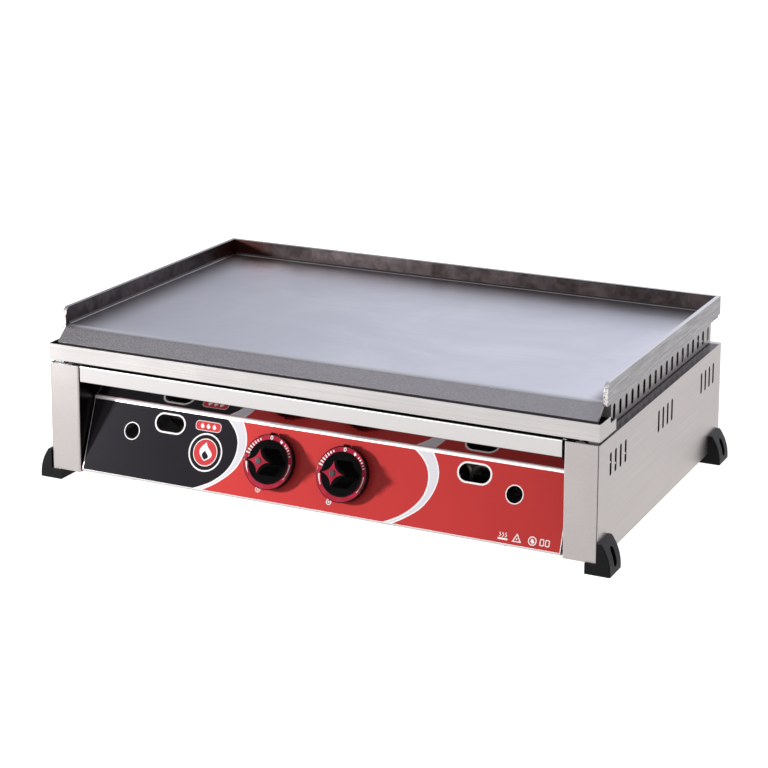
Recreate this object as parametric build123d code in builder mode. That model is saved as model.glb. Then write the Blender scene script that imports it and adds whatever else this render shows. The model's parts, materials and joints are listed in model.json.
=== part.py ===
"""Countertop gas griddle with a flat steel plate, two burners and a slide-out grease tray.

Frame: millimetres, +Z up, +X to the user's right, the user stands on the -Y side.
The origin is the centre of the body's footprint, on the plane that the feet stand on.
"""

import os
from math import atan2, cos, hypot, radians, sin

from build123d import *

os.makedirs("parts", exist_ok=True)

# ---------------------------------------------------------------- driving dimensions
body_width = 700.0
body_depth = 444.0
body_height = 132.0
foot_height = 12.5
sheet = 1.0  # stainless sheet of the body
bend = 2.0  # outside radius of a fold

post_width = 40.0  # front face of each side panel
post_return = 34.0  # depth of the fold behind the post
ledge_width = 28.0  # flange along the top of each side panel
flange_width = 19.0  # flange along the bottom of each side panel
rear_flange = 16.0

panel_half_width = 307.5  # front panel, half its length between the posts
rail_height = 19.6
recess_depth = 32.0  # how far the top of the control face stands back
fold_height = 87.0  # top of the control face, above the body's bottom edge
face_bottom = 2.0  # bottom of the control face, above the body's bottom edge

plate_half_width = 344.0
plate_thickness = 5.0
plate_top = 185.5
plate_front = -194.0  # where the front lip starts to bend down
plate_rear = 209.5
lip_run = 20.0
lip_drop = 17.0
upstand_thickness = 5.0
upstand_height = 20.8  # above the cooking surface
weld_leg = 2.5  # of the weld bead and of the groove that it fills

skirt_half_width = 338.0
skirt_front_y = -154.0
skirt_rear_y = 213.0
skirt_flange = 14.0
slot_count = 17
slot_pitch = 20.28
slot_height = 16.6
slot_width = 6.8
slot_centre_y = 18.5
slot_centre_z = 159.0

tray_half_width = 351.0
tray_front = -223.0
tray_depth = 50.0
tray_bottom = 148.9
tray_height = 19.5
tray_wall_height = 12.0  # back wall and the rear part of each end
tray_return = 32.0  # full-height part of each end

vent_height = 25.4
vent_width = 5.0
vent_pitch = 16.1
vents_per_group = 4
vent_group_pitch = 162.8
vent_groups = 3
vent_centre_y = 1.8
vent_centre_z = 113.4

foot_width = 36.0  # along the side of the body
foot_under = 13.5  # reach under the body
foot_out = 16.0  # reach outside the body
foot_wing_top = 36.0
foot_wing_thin = 5.0  # thickness of the wing at its top
foot_y = {"front": -206.0, "rear": 194.0}

knob_x = {"left": -55.0, "right": 39.7}
knob_slope = 47.2  # height of the knob axes, measured up the control face
knob_radius = 32.0
knob_back = 5.0  # gap between the knob and the control face
knob_ring_front = 12.0
knob_height = 36.0

panel_shift = -1.2  # the punched openings sit a little left of the middle
light_hole_x = 247.0
light_hole_slope = 56.6
light_hole_radius = 9.5
view_slot_x = 196.8
view_slot_slope = 72.3
view_slot_length = 38.0
view_slot_height = 19.7

burner_x = {"left": -165.0, "right": 165.0}
burner_z = 70.0
burner_radius = 14.0
burner_wall = 1.5
burner_half_spread = 70.0
burner_front = -131.5
burner_rear = 168.0

inlet_x = 285.0
inlet_radius = 20.955 / 2  # outside of a G1/2 thread
inlet_end = 246.0

# ---------------------------------------------------------------- derived places
half_width = body_width / 2
half_depth = body_depth / 2
body_bottom = foot_height
body_top = foot_height + body_height
rail_top = body_top + 1.0
rail_bottom = rail_top - rail_height
rear_y = half_depth - sheet  # the rear panel closes the last sheet thickness
plate_bottom = plate_top - plate_thickness
upstand_top = plate_top + upstand_height

fold_y = -half_depth + recess_depth
fold_z = body_bottom + fold_height
face_y = -half_depth
face_z = body_bottom + face_bottom
face_length = hypot(fold_y - face_y, fold_z - face_z)
lean = atan2(fold_y - face_y, fold_z - face_z)
outward = Vector(0, -cos(lean), sin(lean))  # normal of the control face

# x runs along the body, y runs up the control face, z stands out of it
face_plane = Plane(origin=(0, face_y, face_z), x_dir=(1, 0, 0), z_dir=outward)


# the gas manifold runs under the valves, then along the right side to the rear
valve_width = 28.0
valve_height = 26.0
pipe_radius = 8.5
manifold_depth = -32.0  # behind the control face
manifold_slope = knob_slope - valve_height / 2 - pipe_radius
manifold_spot = face_plane.from_local_coords(Vector(0, manifold_slope, manifold_depth))
manifold_y = manifold_spot.Y
manifold_z = manifold_spot.Z


def knob_plane(side, height=0.0):
    """Plane across a knob axis, a given height in front of the control face."""
    spot = face_plane.from_local_coords(Vector(knob_x[side], knob_slope, height))
    return Plane(origin=spot, x_dir=(1, 0, 0), z_dir=outward)


def save(builder, name):
    """Labels a finished piece and writes it as one STEP file."""
    builder.part.label = name
    export_step(builder.part, f"parts/{name}.step")


def folded(points, side, thickness=sheet, radius=bend):
    """Adds the section of a folded sheet: a line with round corners, thickened to one side."""
    with BuildLine() as section:
        FilletPolyline(*points, radius=radius)
        offset(amount=thickness, side=side)
    make_face(section.edges())


def save_pair(right, name):
    """Writes a piece of the right side and its mirror image for the left side."""
    with BuildPart() as left:
        add(right.part)
        mirror(about=Plane.YZ, mode=Mode.REPLACE)
    save(right, f"{name}_right")
    save(left, f"{name}_left")


# ---------------------------------------------------------------- side panels
foot_hole_z = 18.0
foot_hole_radius = 2.2
ear_half_length = 332.0  # tabs of the front panel that lie on the side ledges
front_screw_y = -half_depth + 12.0
ear_screw = (327.0, front_screw_y)
lip_screw = (240.0, front_screw_y)
rear_screw_z = (31.0, 78.0, 125.0)
rear_screw_x = half_width - 9.0
skirt_screw_y = (-118.0, 35.0, 188.0)
skirt_screw_x = skirt_half_width - 7.0
screw_hole_radius = 2.1

with BuildPart() as side_panel:
    with BuildSketch(Plane.XY.offset(body_bottom)):
        folded(
            [
                (half_width - rear_flange, rear_y),
                (half_width, rear_y),
                (half_width, -half_depth),
                (half_width - post_width, -half_depth),
                (half_width - post_width, -half_depth + post_return),
            ],
            Side.RIGHT,
        )
    extrude(amount=body_height)
    with BuildSketch(Plane.XY.offset(body_top - sheet)):
        with Locations((half_width - sheet, 0)):
            Rectangle(
                ledge_width - sheet,
                body_depth - 4 * sheet,
                align=(Align.MAX, Align.CENTER),
            )
    extrude(amount=sheet)
    with BuildSketch(Plane.XY.offset(body_bottom)):
        with Locations((half_width - sheet, rear_y - sheet)):
            Rectangle(
                flange_width,
                body_depth - post_return - 3 * sheet,
                align=(Align.MAX, Align.MAX),
            )
    extrude(amount=sheet)
    with BuildSketch(Plane.YZ.offset(half_width)):
        with Locations((vent_centre_y, vent_centre_z)):
            with GridLocations(vent_group_pitch, 1, vent_groups, 1):
                with GridLocations(vent_pitch, 1, vents_per_group, 1):
                    SlotOverall(vent_height, vent_width, rotation=90)
    extrude(amount=-2 * sheet, mode=Mode.SUBTRACT)
    with BuildSketch(Plane.YZ.offset(half_width)):
        with Locations(*[(y, foot_hole_z) for y in foot_y.values()]):
            Circle(foot_hole_radius)
    extrude(amount=-2 * sheet, mode=Mode.SUBTRACT)
    with BuildSketch(Plane.XZ.offset(-rear_y)):
        with Locations(*[(rear_screw_x, z) for z in rear_screw_z]):
            Circle(screw_hole_radius)
    extrude(amount=2 * sheet, mode=Mode.SUBTRACT)
    with BuildSketch(Plane.XY.offset(body_top)):
        with Locations(*[(skirt_screw_x, y) for y in skirt_screw_y], ear_screw):
            Circle(screw_hole_radius)
    extrude(amount=-2 * sheet, mode=Mode.SUBTRACT)
save_pair(side_panel, "side_panel")

# ---------------------------------------------------------------- front panel and its printed overlay
spindle_hole_radius = 7.0
lip_depth = 20.0
top_flange_depth = 24.0
ear_width = 16.0
overlay_thickness = 0.4
overlay_margin_top = 2.8
overlay_margin_bottom = 2.8
overlay_margin_end = 1.0


def control_openings():
    """Lighting holes, viewing slots and spindle holes of the control face."""
    for sign in (-1, 1):
        with Locations((panel_shift + sign * light_hole_x, light_hole_slope)):
            Circle(light_hole_radius)
        with Locations((panel_shift + sign * view_slot_x, view_slot_slope)):
            SlotOverall(view_slot_length, view_slot_height)
    for x in knob_x.values():
        with Locations((x, knob_slope)):
            Circle(spindle_hole_radius)


with BuildPart() as front_panel:
    with BuildSketch(Plane.YZ):
        folded(
            [
                (-half_depth + top_flange_depth, rail_top),
                (-half_depth, rail_top),
                (-half_depth, rail_bottom),
                (fold_y, fold_z),
                (face_y, face_z),
                (face_y + lip_depth, face_z),
            ],
            Side.LEFT,
        )
    extrude(amount=panel_half_width, both=True)
    with BuildSketch(Plane.XY.offset(rail_top)):
        with Locations((0, ear_screw[1])):
            Rectangle(2 * ear_half_length, ear_width)
    extrude(amount=-sheet)
    with BuildSketch(face_plane):
        control_openings()
    extrude(amount=-2 * sheet, mode=Mode.SUBTRACT)
    with BuildSketch(Plane.XY.offset(rail_top)):
        with Locations(*[(s * ear_screw[0], ear_screw[1]) for s in (-1, 1)]):
            Circle(screw_hole_radius)
    extrude(amount=-2 * sheet, mode=Mode.SUBTRACT)
    with BuildSketch(Plane.XY.offset(body_bottom)):
        with Locations(*[(s * lip_screw[0], lip_screw[1]) for s in (-1, 1)]):
            Circle(screw_hole_radius)
    extrude(amount=4 * sheet, mode=Mode.SUBTRACT)
save(front_panel, "front_panel")

with BuildPart() as control_overlay:
    with BuildSketch(face_plane):
        with Locations((0, overlay_margin_bottom)):
            Rectangle(
                2 * (panel_half_width - overlay_margin_end),
                face_length - overlay_margin_top - overlay_margin_bottom,
                align=(Align.CENTER, Align.MIN),
            )
        with BuildSketch(mode=Mode.SUBTRACT):
            control_openings()
    extrude(amount=overlay_thickness)
save(control_overlay, "control_overlay")

# ---------------------------------------------------------------- rear and base panels
under_ledge = body_top - sheet  # height of everything that carries the ledges
rear_top_flange = 18.0
rear_corner_gap = 4.0  # between the top flange and the side panels
rear_vent_count = 14
rear_vent_pitch = 30.0
inlet_hole_radius = 11.0

with BuildPart() as rear_panel:
    with BuildSketch(Plane.XY.offset(body_bottom)):
        with Locations((0, rear_y)):
            Rectangle(body_width - 2 * sheet, sheet, align=(Align.CENTER, Align.MIN))
    extrude(amount=under_ledge - body_bottom)
    with BuildSketch(Plane.XY.offset(under_ledge - sheet)):
        with Locations((0, rear_y)):
            Rectangle(
                2 * (half_width - rear_flange - rear_corner_gap),
                rear_top_flange,
                align=(Align.CENTER, Align.MAX),
            )
    extrude(amount=sheet)
    with BuildSketch(Plane.XZ.offset(-half_depth)):
        with Locations((0, vent_centre_z)):
            with GridLocations(rear_vent_pitch, 1, rear_vent_count, 1):
                SlotOverall(vent_height, vent_width, rotation=90)
        with Locations((inlet_x, manifold_z)):
            Circle(inlet_hole_radius)
        with Locations(*[(s * rear_screw_x, z) for s in (-1, 1) for z in rear_screw_z]):
            Circle(screw_hole_radius)
    extrude(amount=2 * sheet, mode=Mode.SUBTRACT)
save(rear_panel, "rear_panel")

base_vent_length = 70.0
base_vent_width = 8.0
base_vent_centre_y = 30.0
base_vent_pitch = (120.0, 40.0)
base_vent_grid = (5, 6)
base_side_gap = 5.0
base_end_gap = 4.0
base_post_gap = 2.0
base_z = body_bottom + sheet

with BuildPart() as base_panel:
    with BuildSketch(Plane.XY.offset(base_z)):
        with Locations((0, -half_depth + post_return + base_post_gap)):
            Rectangle(
                2 * (half_width - base_side_gap),
                body_depth - post_return - base_post_gap - base_end_gap,
                align=(Align.CENTER, Align.MIN),
            )
        with Locations((0, -half_depth + base_end_gap)):
            Rectangle(
                2 * (half_width - post_width - base_post_gap),
                post_return,
                align=(Align.CENTER, Align.MIN),
            )
        with Locations((0, base_vent_centre_y)):
            with GridLocations(*base_vent_pitch, *base_vent_grid):
                SlotOverall(base_vent_length, base_vent_width, mode=Mode.SUBTRACT)
        with Locations(*[(s * lip_screw[0], lip_screw[1]) for s in (-1, 1)]):
            Circle(screw_hole_radius, mode=Mode.SUBTRACT)
    extrude(amount=sheet)
save(base_panel, "base_panel")

# ---------------------------------------------------------------- cross member and heat shield
cross_web_height = 26.0
cross_flange = 25.0
cross_half_length = half_width - 12.0
cross_web_y = skirt_front_y - sheet

with BuildPart() as cross_member:
    with BuildSketch(Plane.YZ):
        folded(
            [
                (cross_web_y + cross_flange, under_ledge),
                (cross_web_y, under_ledge),
                (cross_web_y, under_ledge - cross_web_height),
            ],
            Side.LEFT,
        )
    extrude(amount=cross_half_length, both=True)
save(cross_member, "cross_member")

shield_half_width = 300.0
shield_height = 44.0
shield_top = under_ledge - 3.0

with BuildPart() as heat_shield:
    with BuildSketch(Plane.XY.offset(shield_top - shield_height)):
        with Locations((0, skirt_front_y)):
            Rectangle(2 * shield_half_width, sheet, align=(Align.CENTER, Align.MIN))
    extrude(amount=shield_height)
save(heat_shield, "heat_shield")

# ---------------------------------------------------------------- slotted flue skirt under the plate
stud_radius = 3.0
stud_hole_radius = 3.3
stud_x = skirt_half_width - 8.0
stud_y = (-110.0, 160.0)
skirt_gap = 0.5
skirt_butt_gap = 0.05

with BuildPart() as skirt_side:
    with BuildSketch(Plane.XZ.offset(-skirt_rear_y)):
        folded(
            [
                (skirt_half_width - skirt_flange, body_top),
                (skirt_half_width, body_top),
                (skirt_half_width, plate_bottom),
                (skirt_half_width - skirt_flange, plate_bottom),
            ],
            Side.LEFT,
        )
    extrude(amount=skirt_rear_y - skirt_front_y)
    with BuildSketch(Plane.YZ.offset(skirt_half_width)):
        with Locations((slot_centre_y, slot_centre_z)):
            with GridLocations(slot_pitch, 1, slot_count, 1):
                SlotOverall(slot_height, slot_width, rotation=90)
    extrude(amount=-2 * sheet, mode=Mode.SUBTRACT)
    with BuildSketch(Plane.XY.offset(body_top)):
        with Locations(*[(skirt_screw_x, y) for y in skirt_screw_y]):
            Circle(screw_hole_radius)
    extrude(amount=2 * sheet, mode=Mode.SUBTRACT)
    with BuildSketch(Plane.XY.offset(plate_bottom)):
        with Locations(*[(stud_x, y) for y in stud_y]):
            Circle(stud_hole_radius)
    extrude(amount=-2 * sheet, mode=Mode.SUBTRACT)
save_pair(skirt_side, "flue_skirt")


def skirt_end(face, inward):
    """Front or rear part of the skirt, between the side parts. inward is +1 towards +Y."""
    with BuildPart() as end:
        with BuildSketch(Plane.YZ):
            folded(
                [
                    (face + inward * skirt_flange, under_ledge),
                    (face, under_ledge),
                    (face, plate_bottom),
                    (face + inward * skirt_flange, plate_bottom),
                ],
                Side.RIGHT if inward > 0 else Side.LEFT,
            )
        extrude(amount=half_width - ledge_width - skirt_gap, both=True)
        with BuildSketch(Plane.YZ):
            with Locations((face, body_top + 2 * sheet)):
                Rectangle(
                    sheet,
                    plate_bottom - body_top - 4 * sheet,
                    align=(Align.MIN if inward > 0 else Align.MAX, Align.MIN),
                )
        extrude(amount=skirt_half_width - sheet - skirt_butt_gap, both=True)
    return end


skirt_front = skirt_end(skirt_front_y, 1)
save(skirt_front, "flue_skirt_front")

rear_slot_count = 31
with BuildPart() as skirt_rear:
    add(skirt_end(skirt_rear_y, -1).part)
    with BuildSketch(Plane.XZ.offset(-skirt_rear_y)):
        with Locations((0, slot_centre_z)):
            with GridLocations(slot_pitch, 1, rear_slot_count, 1):
                SlotOverall(slot_height, slot_width, rotation=90)
    extrude(amount=2 * sheet, mode=Mode.SUBTRACT)
save(skirt_rear, "flue_skirt_rear")

# ---------------------------------------------------------------- griddle plate and welded upstands
lip_bend = 14.0
upstand_front = plate_front - 2.0
upstand_corner = 10.0
rear_chamfer = 4.5
lip_y = plate_front - lip_run
lip_z = plate_top - lip_drop
weld_front = plate_front + 5.0  # where the plate is flat behind the lip's bend


def weld_section(edge):
    """Triangle of a weld bead on a plate edge: half in a groove, half above the plate."""
    with BuildLine() as bead:
        Polyline(
            (edge, plate_top - weld_leg),
            (edge - weld_leg, plate_top),
            (edge, plate_top + weld_leg),
            close=True,
        )
    make_face(bead.edges())


with BuildPart() as griddle_plate:
    with BuildSketch(Plane.YZ):
        folded(
            [(plate_rear, plate_top), (plate_front, plate_top), (lip_y, lip_z)],
            Side.LEFT,
            plate_thickness,
            lip_bend,
        )
    extrude(amount=plate_half_width, both=True)
    with BuildSketch(Plane.XZ.offset(-plate_rear)):
        weld_section(plate_half_width)
        mirror(about=Plane.YZ)
    extrude(amount=plate_rear - weld_front, mode=Mode.SUBTRACT)
    with BuildSketch(Plane.YZ):
        weld_section(plate_rear)
    extrude(amount=plate_half_width, both=True, mode=Mode.SUBTRACT)
save(griddle_plate, "griddle_plate")

with BuildPart() as upstand_side:
    with BuildSketch(Plane.YZ.offset(plate_half_width)):
        with Locations((upstand_front, plate_bottom)):
            Rectangle(
                plate_rear - upstand_front,
                upstand_top - plate_bottom,
                align=(Align.MIN, Align.MIN),
            )
    extrude(amount=upstand_thickness)
    front_corner = (
        upstand_side.edges().filter_by(Axis.X).group_by(Axis.Y)[0].sort_by(Axis.Z)[-1]
    )
    fillet(front_corner, upstand_corner)
    rear_corner = upstand_side.edges().filter_by(Axis.X).group_by(Axis.Y)[-1].sort_by(Axis.Z)[0]
    chamfer(rear_corner, rear_chamfer)
    with BuildSketch(Plane.XZ.offset(-plate_rear + weld_leg)):
        weld_section(plate_half_width)
    extrude(amount=plate_rear - weld_leg - weld_front)
save_pair(upstand_side, "upstand")

rear_bottom = plate_bottom + plate_thickness / 2  # the rear strip covers half of the plate's edge

with BuildPart() as upstand_rear:
    with BuildSketch(Plane.XY.offset(rear_bottom)):
        with Locations((0, plate_rear)):
            Rectangle(
                2 * (plate_half_width + upstand_thickness),
                upstand_thickness,
                align=(Align.CENTER, Align.MIN),
            )
    extrude(amount=upstand_top - rear_bottom)
    with BuildSketch(Plane.YZ):
        weld_section(plate_rear)
    extrude(amount=plate_half_width - weld_leg, both=True)
save(upstand_rear, "upstand_rear")

stud_length = 14.0
nut_height = 5.0
nut_radius = 5.8
thread_gap = 0.02

with BuildPart() as plate_studs:
    with BuildSketch(Plane.XY.offset(plate_bottom)):
        with Locations(*[(s * stud_x, y) for s in (-1, 1) for y in stud_y]):
            Circle(stud_radius)
    extrude(amount=-stud_length)
save(plate_studs, "plate_studs")

with BuildPart() as plate_nuts:
    with BuildSketch(Plane.XY.offset(plate_bottom - sheet)):
        with Locations(*[(s * stud_x, y) for s in (-1, 1) for y in stud_y]):
            RegularPolygon(nut_radius, 6)
            Circle(stud_radius + thread_gap, mode=Mode.SUBTRACT)
    extrude(amount=-nut_height)
save(plate_nuts, "plate_nuts")

# ---------------------------------------------------------------- grease tray and its runners
tray_corner = 1.5

with BuildPart() as grease_tray:
    with BuildSketch(Plane.XY.offset(tray_bottom)):
        with Locations((0, tray_front)):
            Rectangle(
                2 * tray_half_width, tray_depth, align=(Align.CENTER, Align.MIN)
            )
    extrude(amount=tray_height)
    fillet(
        grease_tray.edges().filter_by(Axis.Z).group_by(Axis.Y)[0],
        tray_corner,
    )
    with BuildSketch(Plane.XY.offset(tray_bottom + sheet)):
        with Locations((0, tray_front + sheet)):
            Rectangle(
                2 * (tray_half_width - sheet),
                tray_depth - 2 * sheet,
                align=(Align.CENTER, Align.MIN),
            )
    extrude(amount=tray_height, mode=Mode.SUBTRACT)
    with BuildSketch(Plane.XY.offset(tray_bottom + tray_wall_height)):
        with Locations((0, tray_front + tray_return)):
            Rectangle(
                2 * tray_half_width + 2, tray_depth, align=(Align.CENTER, Align.MIN)
            )
    extrude(amount=tray_height, mode=Mode.SUBTRACT)
save(grease_tray, "grease_tray")

runner_x = 341.0
runner_width = 12.0
runner_front = tray_front + 8.0
runner_length = tray_depth - 12.0

with BuildPart() as tray_runners:
    with BuildSketch(Plane.XY.offset(body_top)):
        with Locations((-runner_x, runner_front), (runner_x, runner_front)):
            Rectangle(runner_width, runner_length, align=(Align.CENTER, Align.MIN))
    extrude(amount=tray_bottom - body_top)
save(tray_runners, "tray_runners")

# ---------------------------------------------------------------- feet
recess_length = 22.0
recess_width = 9.0
recess_floor = 5.0  # outside the side panel
recess_z = 18.0
foot_edge = 1.5
foot_bulge = (half_width + 12.3, 23.0)  # a point of the wing's round outside
foot_screw_head = 3.6
foot_screw_radius = foot_hole_radius - 0.2
foot_screw_reach = 8.0  # inside the side panel
screw_head_height = 2.2
foot_toe = 3.0  # upright part at the wing's lower edge

with BuildPart() as foot:
    inner = half_width - foot_under
    outer = half_width + foot_out
    with BuildSketch(Plane.XZ.offset(-foot_width / 2)):
        with BuildLine():
            Polyline(
                (outer, 0),
                (inner, 0),
                (inner, foot_height),
                (half_width, foot_height),
                (half_width, foot_wing_top),
                (half_width + foot_wing_thin, foot_wing_top),
            )
            Line((outer, 0), (outer, foot_toe))
            ThreePointArc(
                (outer, foot_toe),
                foot_bulge,
                (half_width + foot_wing_thin, foot_wing_top),
            )
        make_face()
    extrude(amount=foot_width)
    wing_edges = foot.edges().filter_by(GeomType.CIRCLE)
    fillet(wing_edges, foot_edge)
    with BuildSketch(Plane.YZ.offset(half_width + recess_floor)):
        with Locations((0, recess_z)):
            SlotOverall(recess_length, recess_width, rotation=90)
    extrude(amount=foot_out, mode=Mode.SUBTRACT)
    with BuildSketch(Plane.YZ.offset(half_width)):
        with Locations((0, foot_hole_z)):
            Circle(foot_hole_radius)
    extrude(amount=foot_out, mode=Mode.SUBTRACT)

for place, y in foot_y.items():
    with BuildPart() as placed_foot:
        with Locations((0, y, 0)):
            add(foot.part)
    save_pair(placed_foot, f"foot_{place}")

with BuildPart() as foot_screws:
    for sign in (-1, 1):
        head_plane = Plane(
            origin=(sign * (half_width + recess_floor), 0, 0),
            x_dir=(0, 1, 0),
            z_dir=(sign, 0, 0),
        )
        spots = [(y, sign * foot_hole_z) for y in foot_y.values()]
        with BuildSketch(head_plane):
            with Locations(*spots):
                Circle(foot_screw_head)
        extrude(amount=screw_head_height)
        with BuildSketch(head_plane):
            with Locations(*spots):
                Circle(foot_screw_radius)
        extrude(amount=-recess_floor - foot_screw_reach)
save(foot_screws, "foot_screws")

# ---------------------------------------------------------------- sheet screws
screw_radius = screw_hole_radius - 0.1
head_radius = 4.0
screw_length = 8.0

screw_heads = []  # planes under the screw heads
for sign in (-1, 1):
    for y in skirt_screw_y:
        screw_heads.append(Plane.XY.offset(body_top + sheet).move(Pos(sign * skirt_screw_x, y)))
    for z in rear_screw_z:
        screw_heads.append(Plane(origin=(sign * rear_screw_x, half_depth, z), z_dir=(0, 1, 0)))
    screw_heads.append(Plane(origin=(sign * ear_screw[0], ear_screw[1], rail_top)))
    screw_heads.append(
        Plane(origin=(sign * lip_screw[0], lip_screw[1], base_z), z_dir=(0, 0, -1))
    )

with BuildPart() as casing_screws:
    for head_plane in screw_heads:
        with BuildSketch(head_plane):
            Circle(head_radius)
        extrude(amount=screw_head_height)
        with BuildSketch(head_plane):
            Circle(screw_radius)
        extrude(amount=-screw_length)
save(casing_screws, "casing_screws")

# ---------------------------------------------------------------- burners
header_radius = 22.0
port_radius = 1.5
port_pitch = 18.0
port_count = 14
port_shift = 10.0  # the rows of ports start behind the header
mixer_radius = 15.0
mixer_wall = 1.5
mixer_front = -172.5
shutter_clearance = 0.05
shutter_wall = 1.2
shutter_length = 16.0
shutter_front = mixer_front + 3.0
air_port_length = 9.0
air_port_width = 12.0
tab_length = 8.0
tab_thickness = 2.0
tab_reach = 7.0
tab_root = 0.3  # depth of the tab in the sleeve's wall


def burner(x):
    """U-shaped tube burner with a mixing tube that points at the control panel."""
    legs = [
        (x - burner_half_spread, burner_rear, burner_z),
        (x - burner_half_spread, burner_front, burner_z),
        (x + burner_half_spread, burner_front, burner_z),
        (x + burner_half_spread, burner_rear, burner_z),
    ]
    leg_start = Plane(origin=legs[0], x_dir=(1, 0, 0), z_dir=(0, -1, 0))
    mixer_start = Plane(
        origin=(x, burner_front, burner_z), x_dir=(1, 0, 0), z_dir=(0, -1, 0)
    )
    mixer_length = burner_front - mixer_front
    with BuildPart() as tube:
        with BuildLine() as path:
            FilletPolyline(*legs, radius=header_radius)
        with BuildSketch(leg_start):
            Circle(burner_radius)
        sweep(path=path.line)
        with BuildSketch(mixer_start):
            Circle(mixer_radius)
        extrude(amount=mixer_length)
        with BuildLine() as bore_path:
            FilletPolyline(*legs, radius=header_radius)
        with BuildSketch(leg_start):
            Circle(burner_radius - burner_wall)
        sweep(path=bore_path.line, mode=Mode.SUBTRACT)
        with BuildSketch(mixer_start):
            Circle(mixer_radius - mixer_wall)
        extrude(amount=mixer_length, mode=Mode.SUBTRACT)
        with BuildSketch(leg_start):
            with Locations((0, 0), (2 * burner_half_spread, 0)):
                Circle(burner_radius)
        extrude(amount=burner_wall)
        with BuildSketch(Plane.XY.offset(burner_z)):
            with Locations((x, (burner_front + burner_rear) / 2 + port_shift)):
                with GridLocations(2 * burner_half_spread, port_pitch, 2, port_count):
                    Circle(port_radius)
        extrude(amount=burner_radius + 1, mode=Mode.SUBTRACT)
        with BuildSketch(Plane.XY.offset(burner_z)):
            with Locations((x, shutter_front + shutter_length / 2)):
                Rectangle(air_port_width, air_port_length)
        extrude(amount=2 * mixer_radius, both=True, mode=Mode.SUBTRACT)
    return tube


def air_shutter(x):
    """Sleeve that turns on the mixing tube and uncovers its two air ports."""
    bore = mixer_radius + shutter_clearance
    front = Plane(
        origin=(x, shutter_front, burner_z), x_dir=(1, 0, 0), z_dir=(0, 1, 0)
    )
    with BuildPart() as sleeve:
        with BuildSketch(front):
            Circle(bore + shutter_wall)
            Circle(bore, mode=Mode.SUBTRACT)
        extrude(amount=shutter_length)
        with BuildSketch(Plane.XY.offset(burner_z)):
            with Locations((x, shutter_front + shutter_length / 2)):
                Rectangle(air_port_width, air_port_length)
        extrude(amount=2 * mixer_radius, both=True, mode=Mode.SUBTRACT)
        with BuildSketch(Plane.YZ.offset(x + bore + shutter_wall - tab_root)):
            with Locations((shutter_front + shutter_length / 2, burner_z)):
                Rectangle(tab_length, tab_thickness)
        extrude(amount=tab_reach)
    return sleeve


# ---------------------------------------------------------------- gas valves, spindles and knobs
valve_front = -12.0
valve_rear = -52.0
valve_corner = 4.0
valve_bore = 6.0
valve_bore_end = -39.0
plunger_front = -22.0
plunger_rear = -31.0
spindle_radius = 4.0
spindle_flat = 3.0  # distance of the flat from the axis
spindle_front = 25.0
gland_radius = 9.5
gland_front = -5.0
gland_chamfer = 1.0
running_gap = 0.05
flat_start = 2.0  # the spindle's flat starts inside the knob
collar_depth = 2.5  # round mouth of the knob's bore, behind its D-shaped part


def valve_body(side):
    """Brass gas cock behind the control face, with a blind bore for its plunger."""
    with BuildPart() as cock:
        with BuildSketch(knob_plane(side, valve_front)):
            RectangleRounded(valve_width, valve_height, valve_corner)
        extrude(amount=valve_rear - valve_front)
        with BuildSketch(knob_plane(side, valve_front)):
            Circle(valve_bore)
        extrude(amount=valve_bore_end - valve_front, mode=Mode.SUBTRACT)
    return cock


def valve_gland(side):
    """Hexagon nut that keeps the spindle in the valve."""
    with BuildPart() as nut:
        with BuildSketch(knob_plane(side, valve_front)):
            RegularPolygon(gland_radius, 6)
            Circle(spindle_radius + running_gap, mode=Mode.SUBTRACT)
        extrude(amount=gland_front - valve_front)
        chamfer(nut.faces().sort_by(Axis.Y)[0].outer_wire().edges(), gland_chamfer)
    return nut


def valve_plunger(side):
    """Plunger that the spindle pushes in to open the flame-safety valve."""
    with BuildPart() as plunger:
        with BuildSketch(knob_plane(side, plunger_rear)):
            Circle(valve_bore - running_gap)
        extrude(amount=plunger_front - plunger_rear)
    return plunger


def spindle(side):
    """Valve spindle with a D-shaped end for the knob."""
    with BuildPart() as shaft:
        with BuildSketch(knob_plane(side, plunger_front)):
            Circle(spindle_radius)
        extrude(amount=spindle_front - plunger_front)
        with BuildSketch(knob_plane(side, knob_back + flat_start)):
            with Locations((0, spindle_flat)):
                Rectangle(3 * spindle_radius, spindle_radius, align=(Align.CENTER, Align.MIN))
        extrude(amount=spindle_front, mode=Mode.SUBTRACT)
    return shaft


grip_tip = 20.0
grip_waist = 10.5
grip_nose = 2.6
badge_tip = 14.2
badge_waist = 6.6
hub_radius = 25.5
ring_outer = 31.0
ring_thickness = 1.0
ring_gap = 0.02
hub_step = 2.0
hub_fillet = 1.2
rim_fillet = 0.8
pointer_size = (7.0, 6.0)  # small lobe on the rim that marks the knob's position
pointer_corner = 2.0
knob_boss_radius = 9.0
skirt_wall = 2.5
skirt_cavity = 4.0
badge_thickness = 1.0
button_radius = 3.6
button_height = 0.8
button_fillet = 0.5


def four_point_star(tip, waist):
    """Star with four points and hollow sides that come as near the middle as waist."""
    with BuildLine() as outline:
        for k in range(4):
            start = (tip * cos(radians(90 * k)), tip * sin(radians(90 * k)))
            end = (tip * cos(radians(90 * k + 90)), tip * sin(radians(90 * k + 90)))
            middle = (
                waist * cos(radians(90 * k + 45)),
                waist * sin(radians(90 * k + 45)),
            )
            ThreePointArc(start, middle, end)
    make_face(outline.edges())


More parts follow.
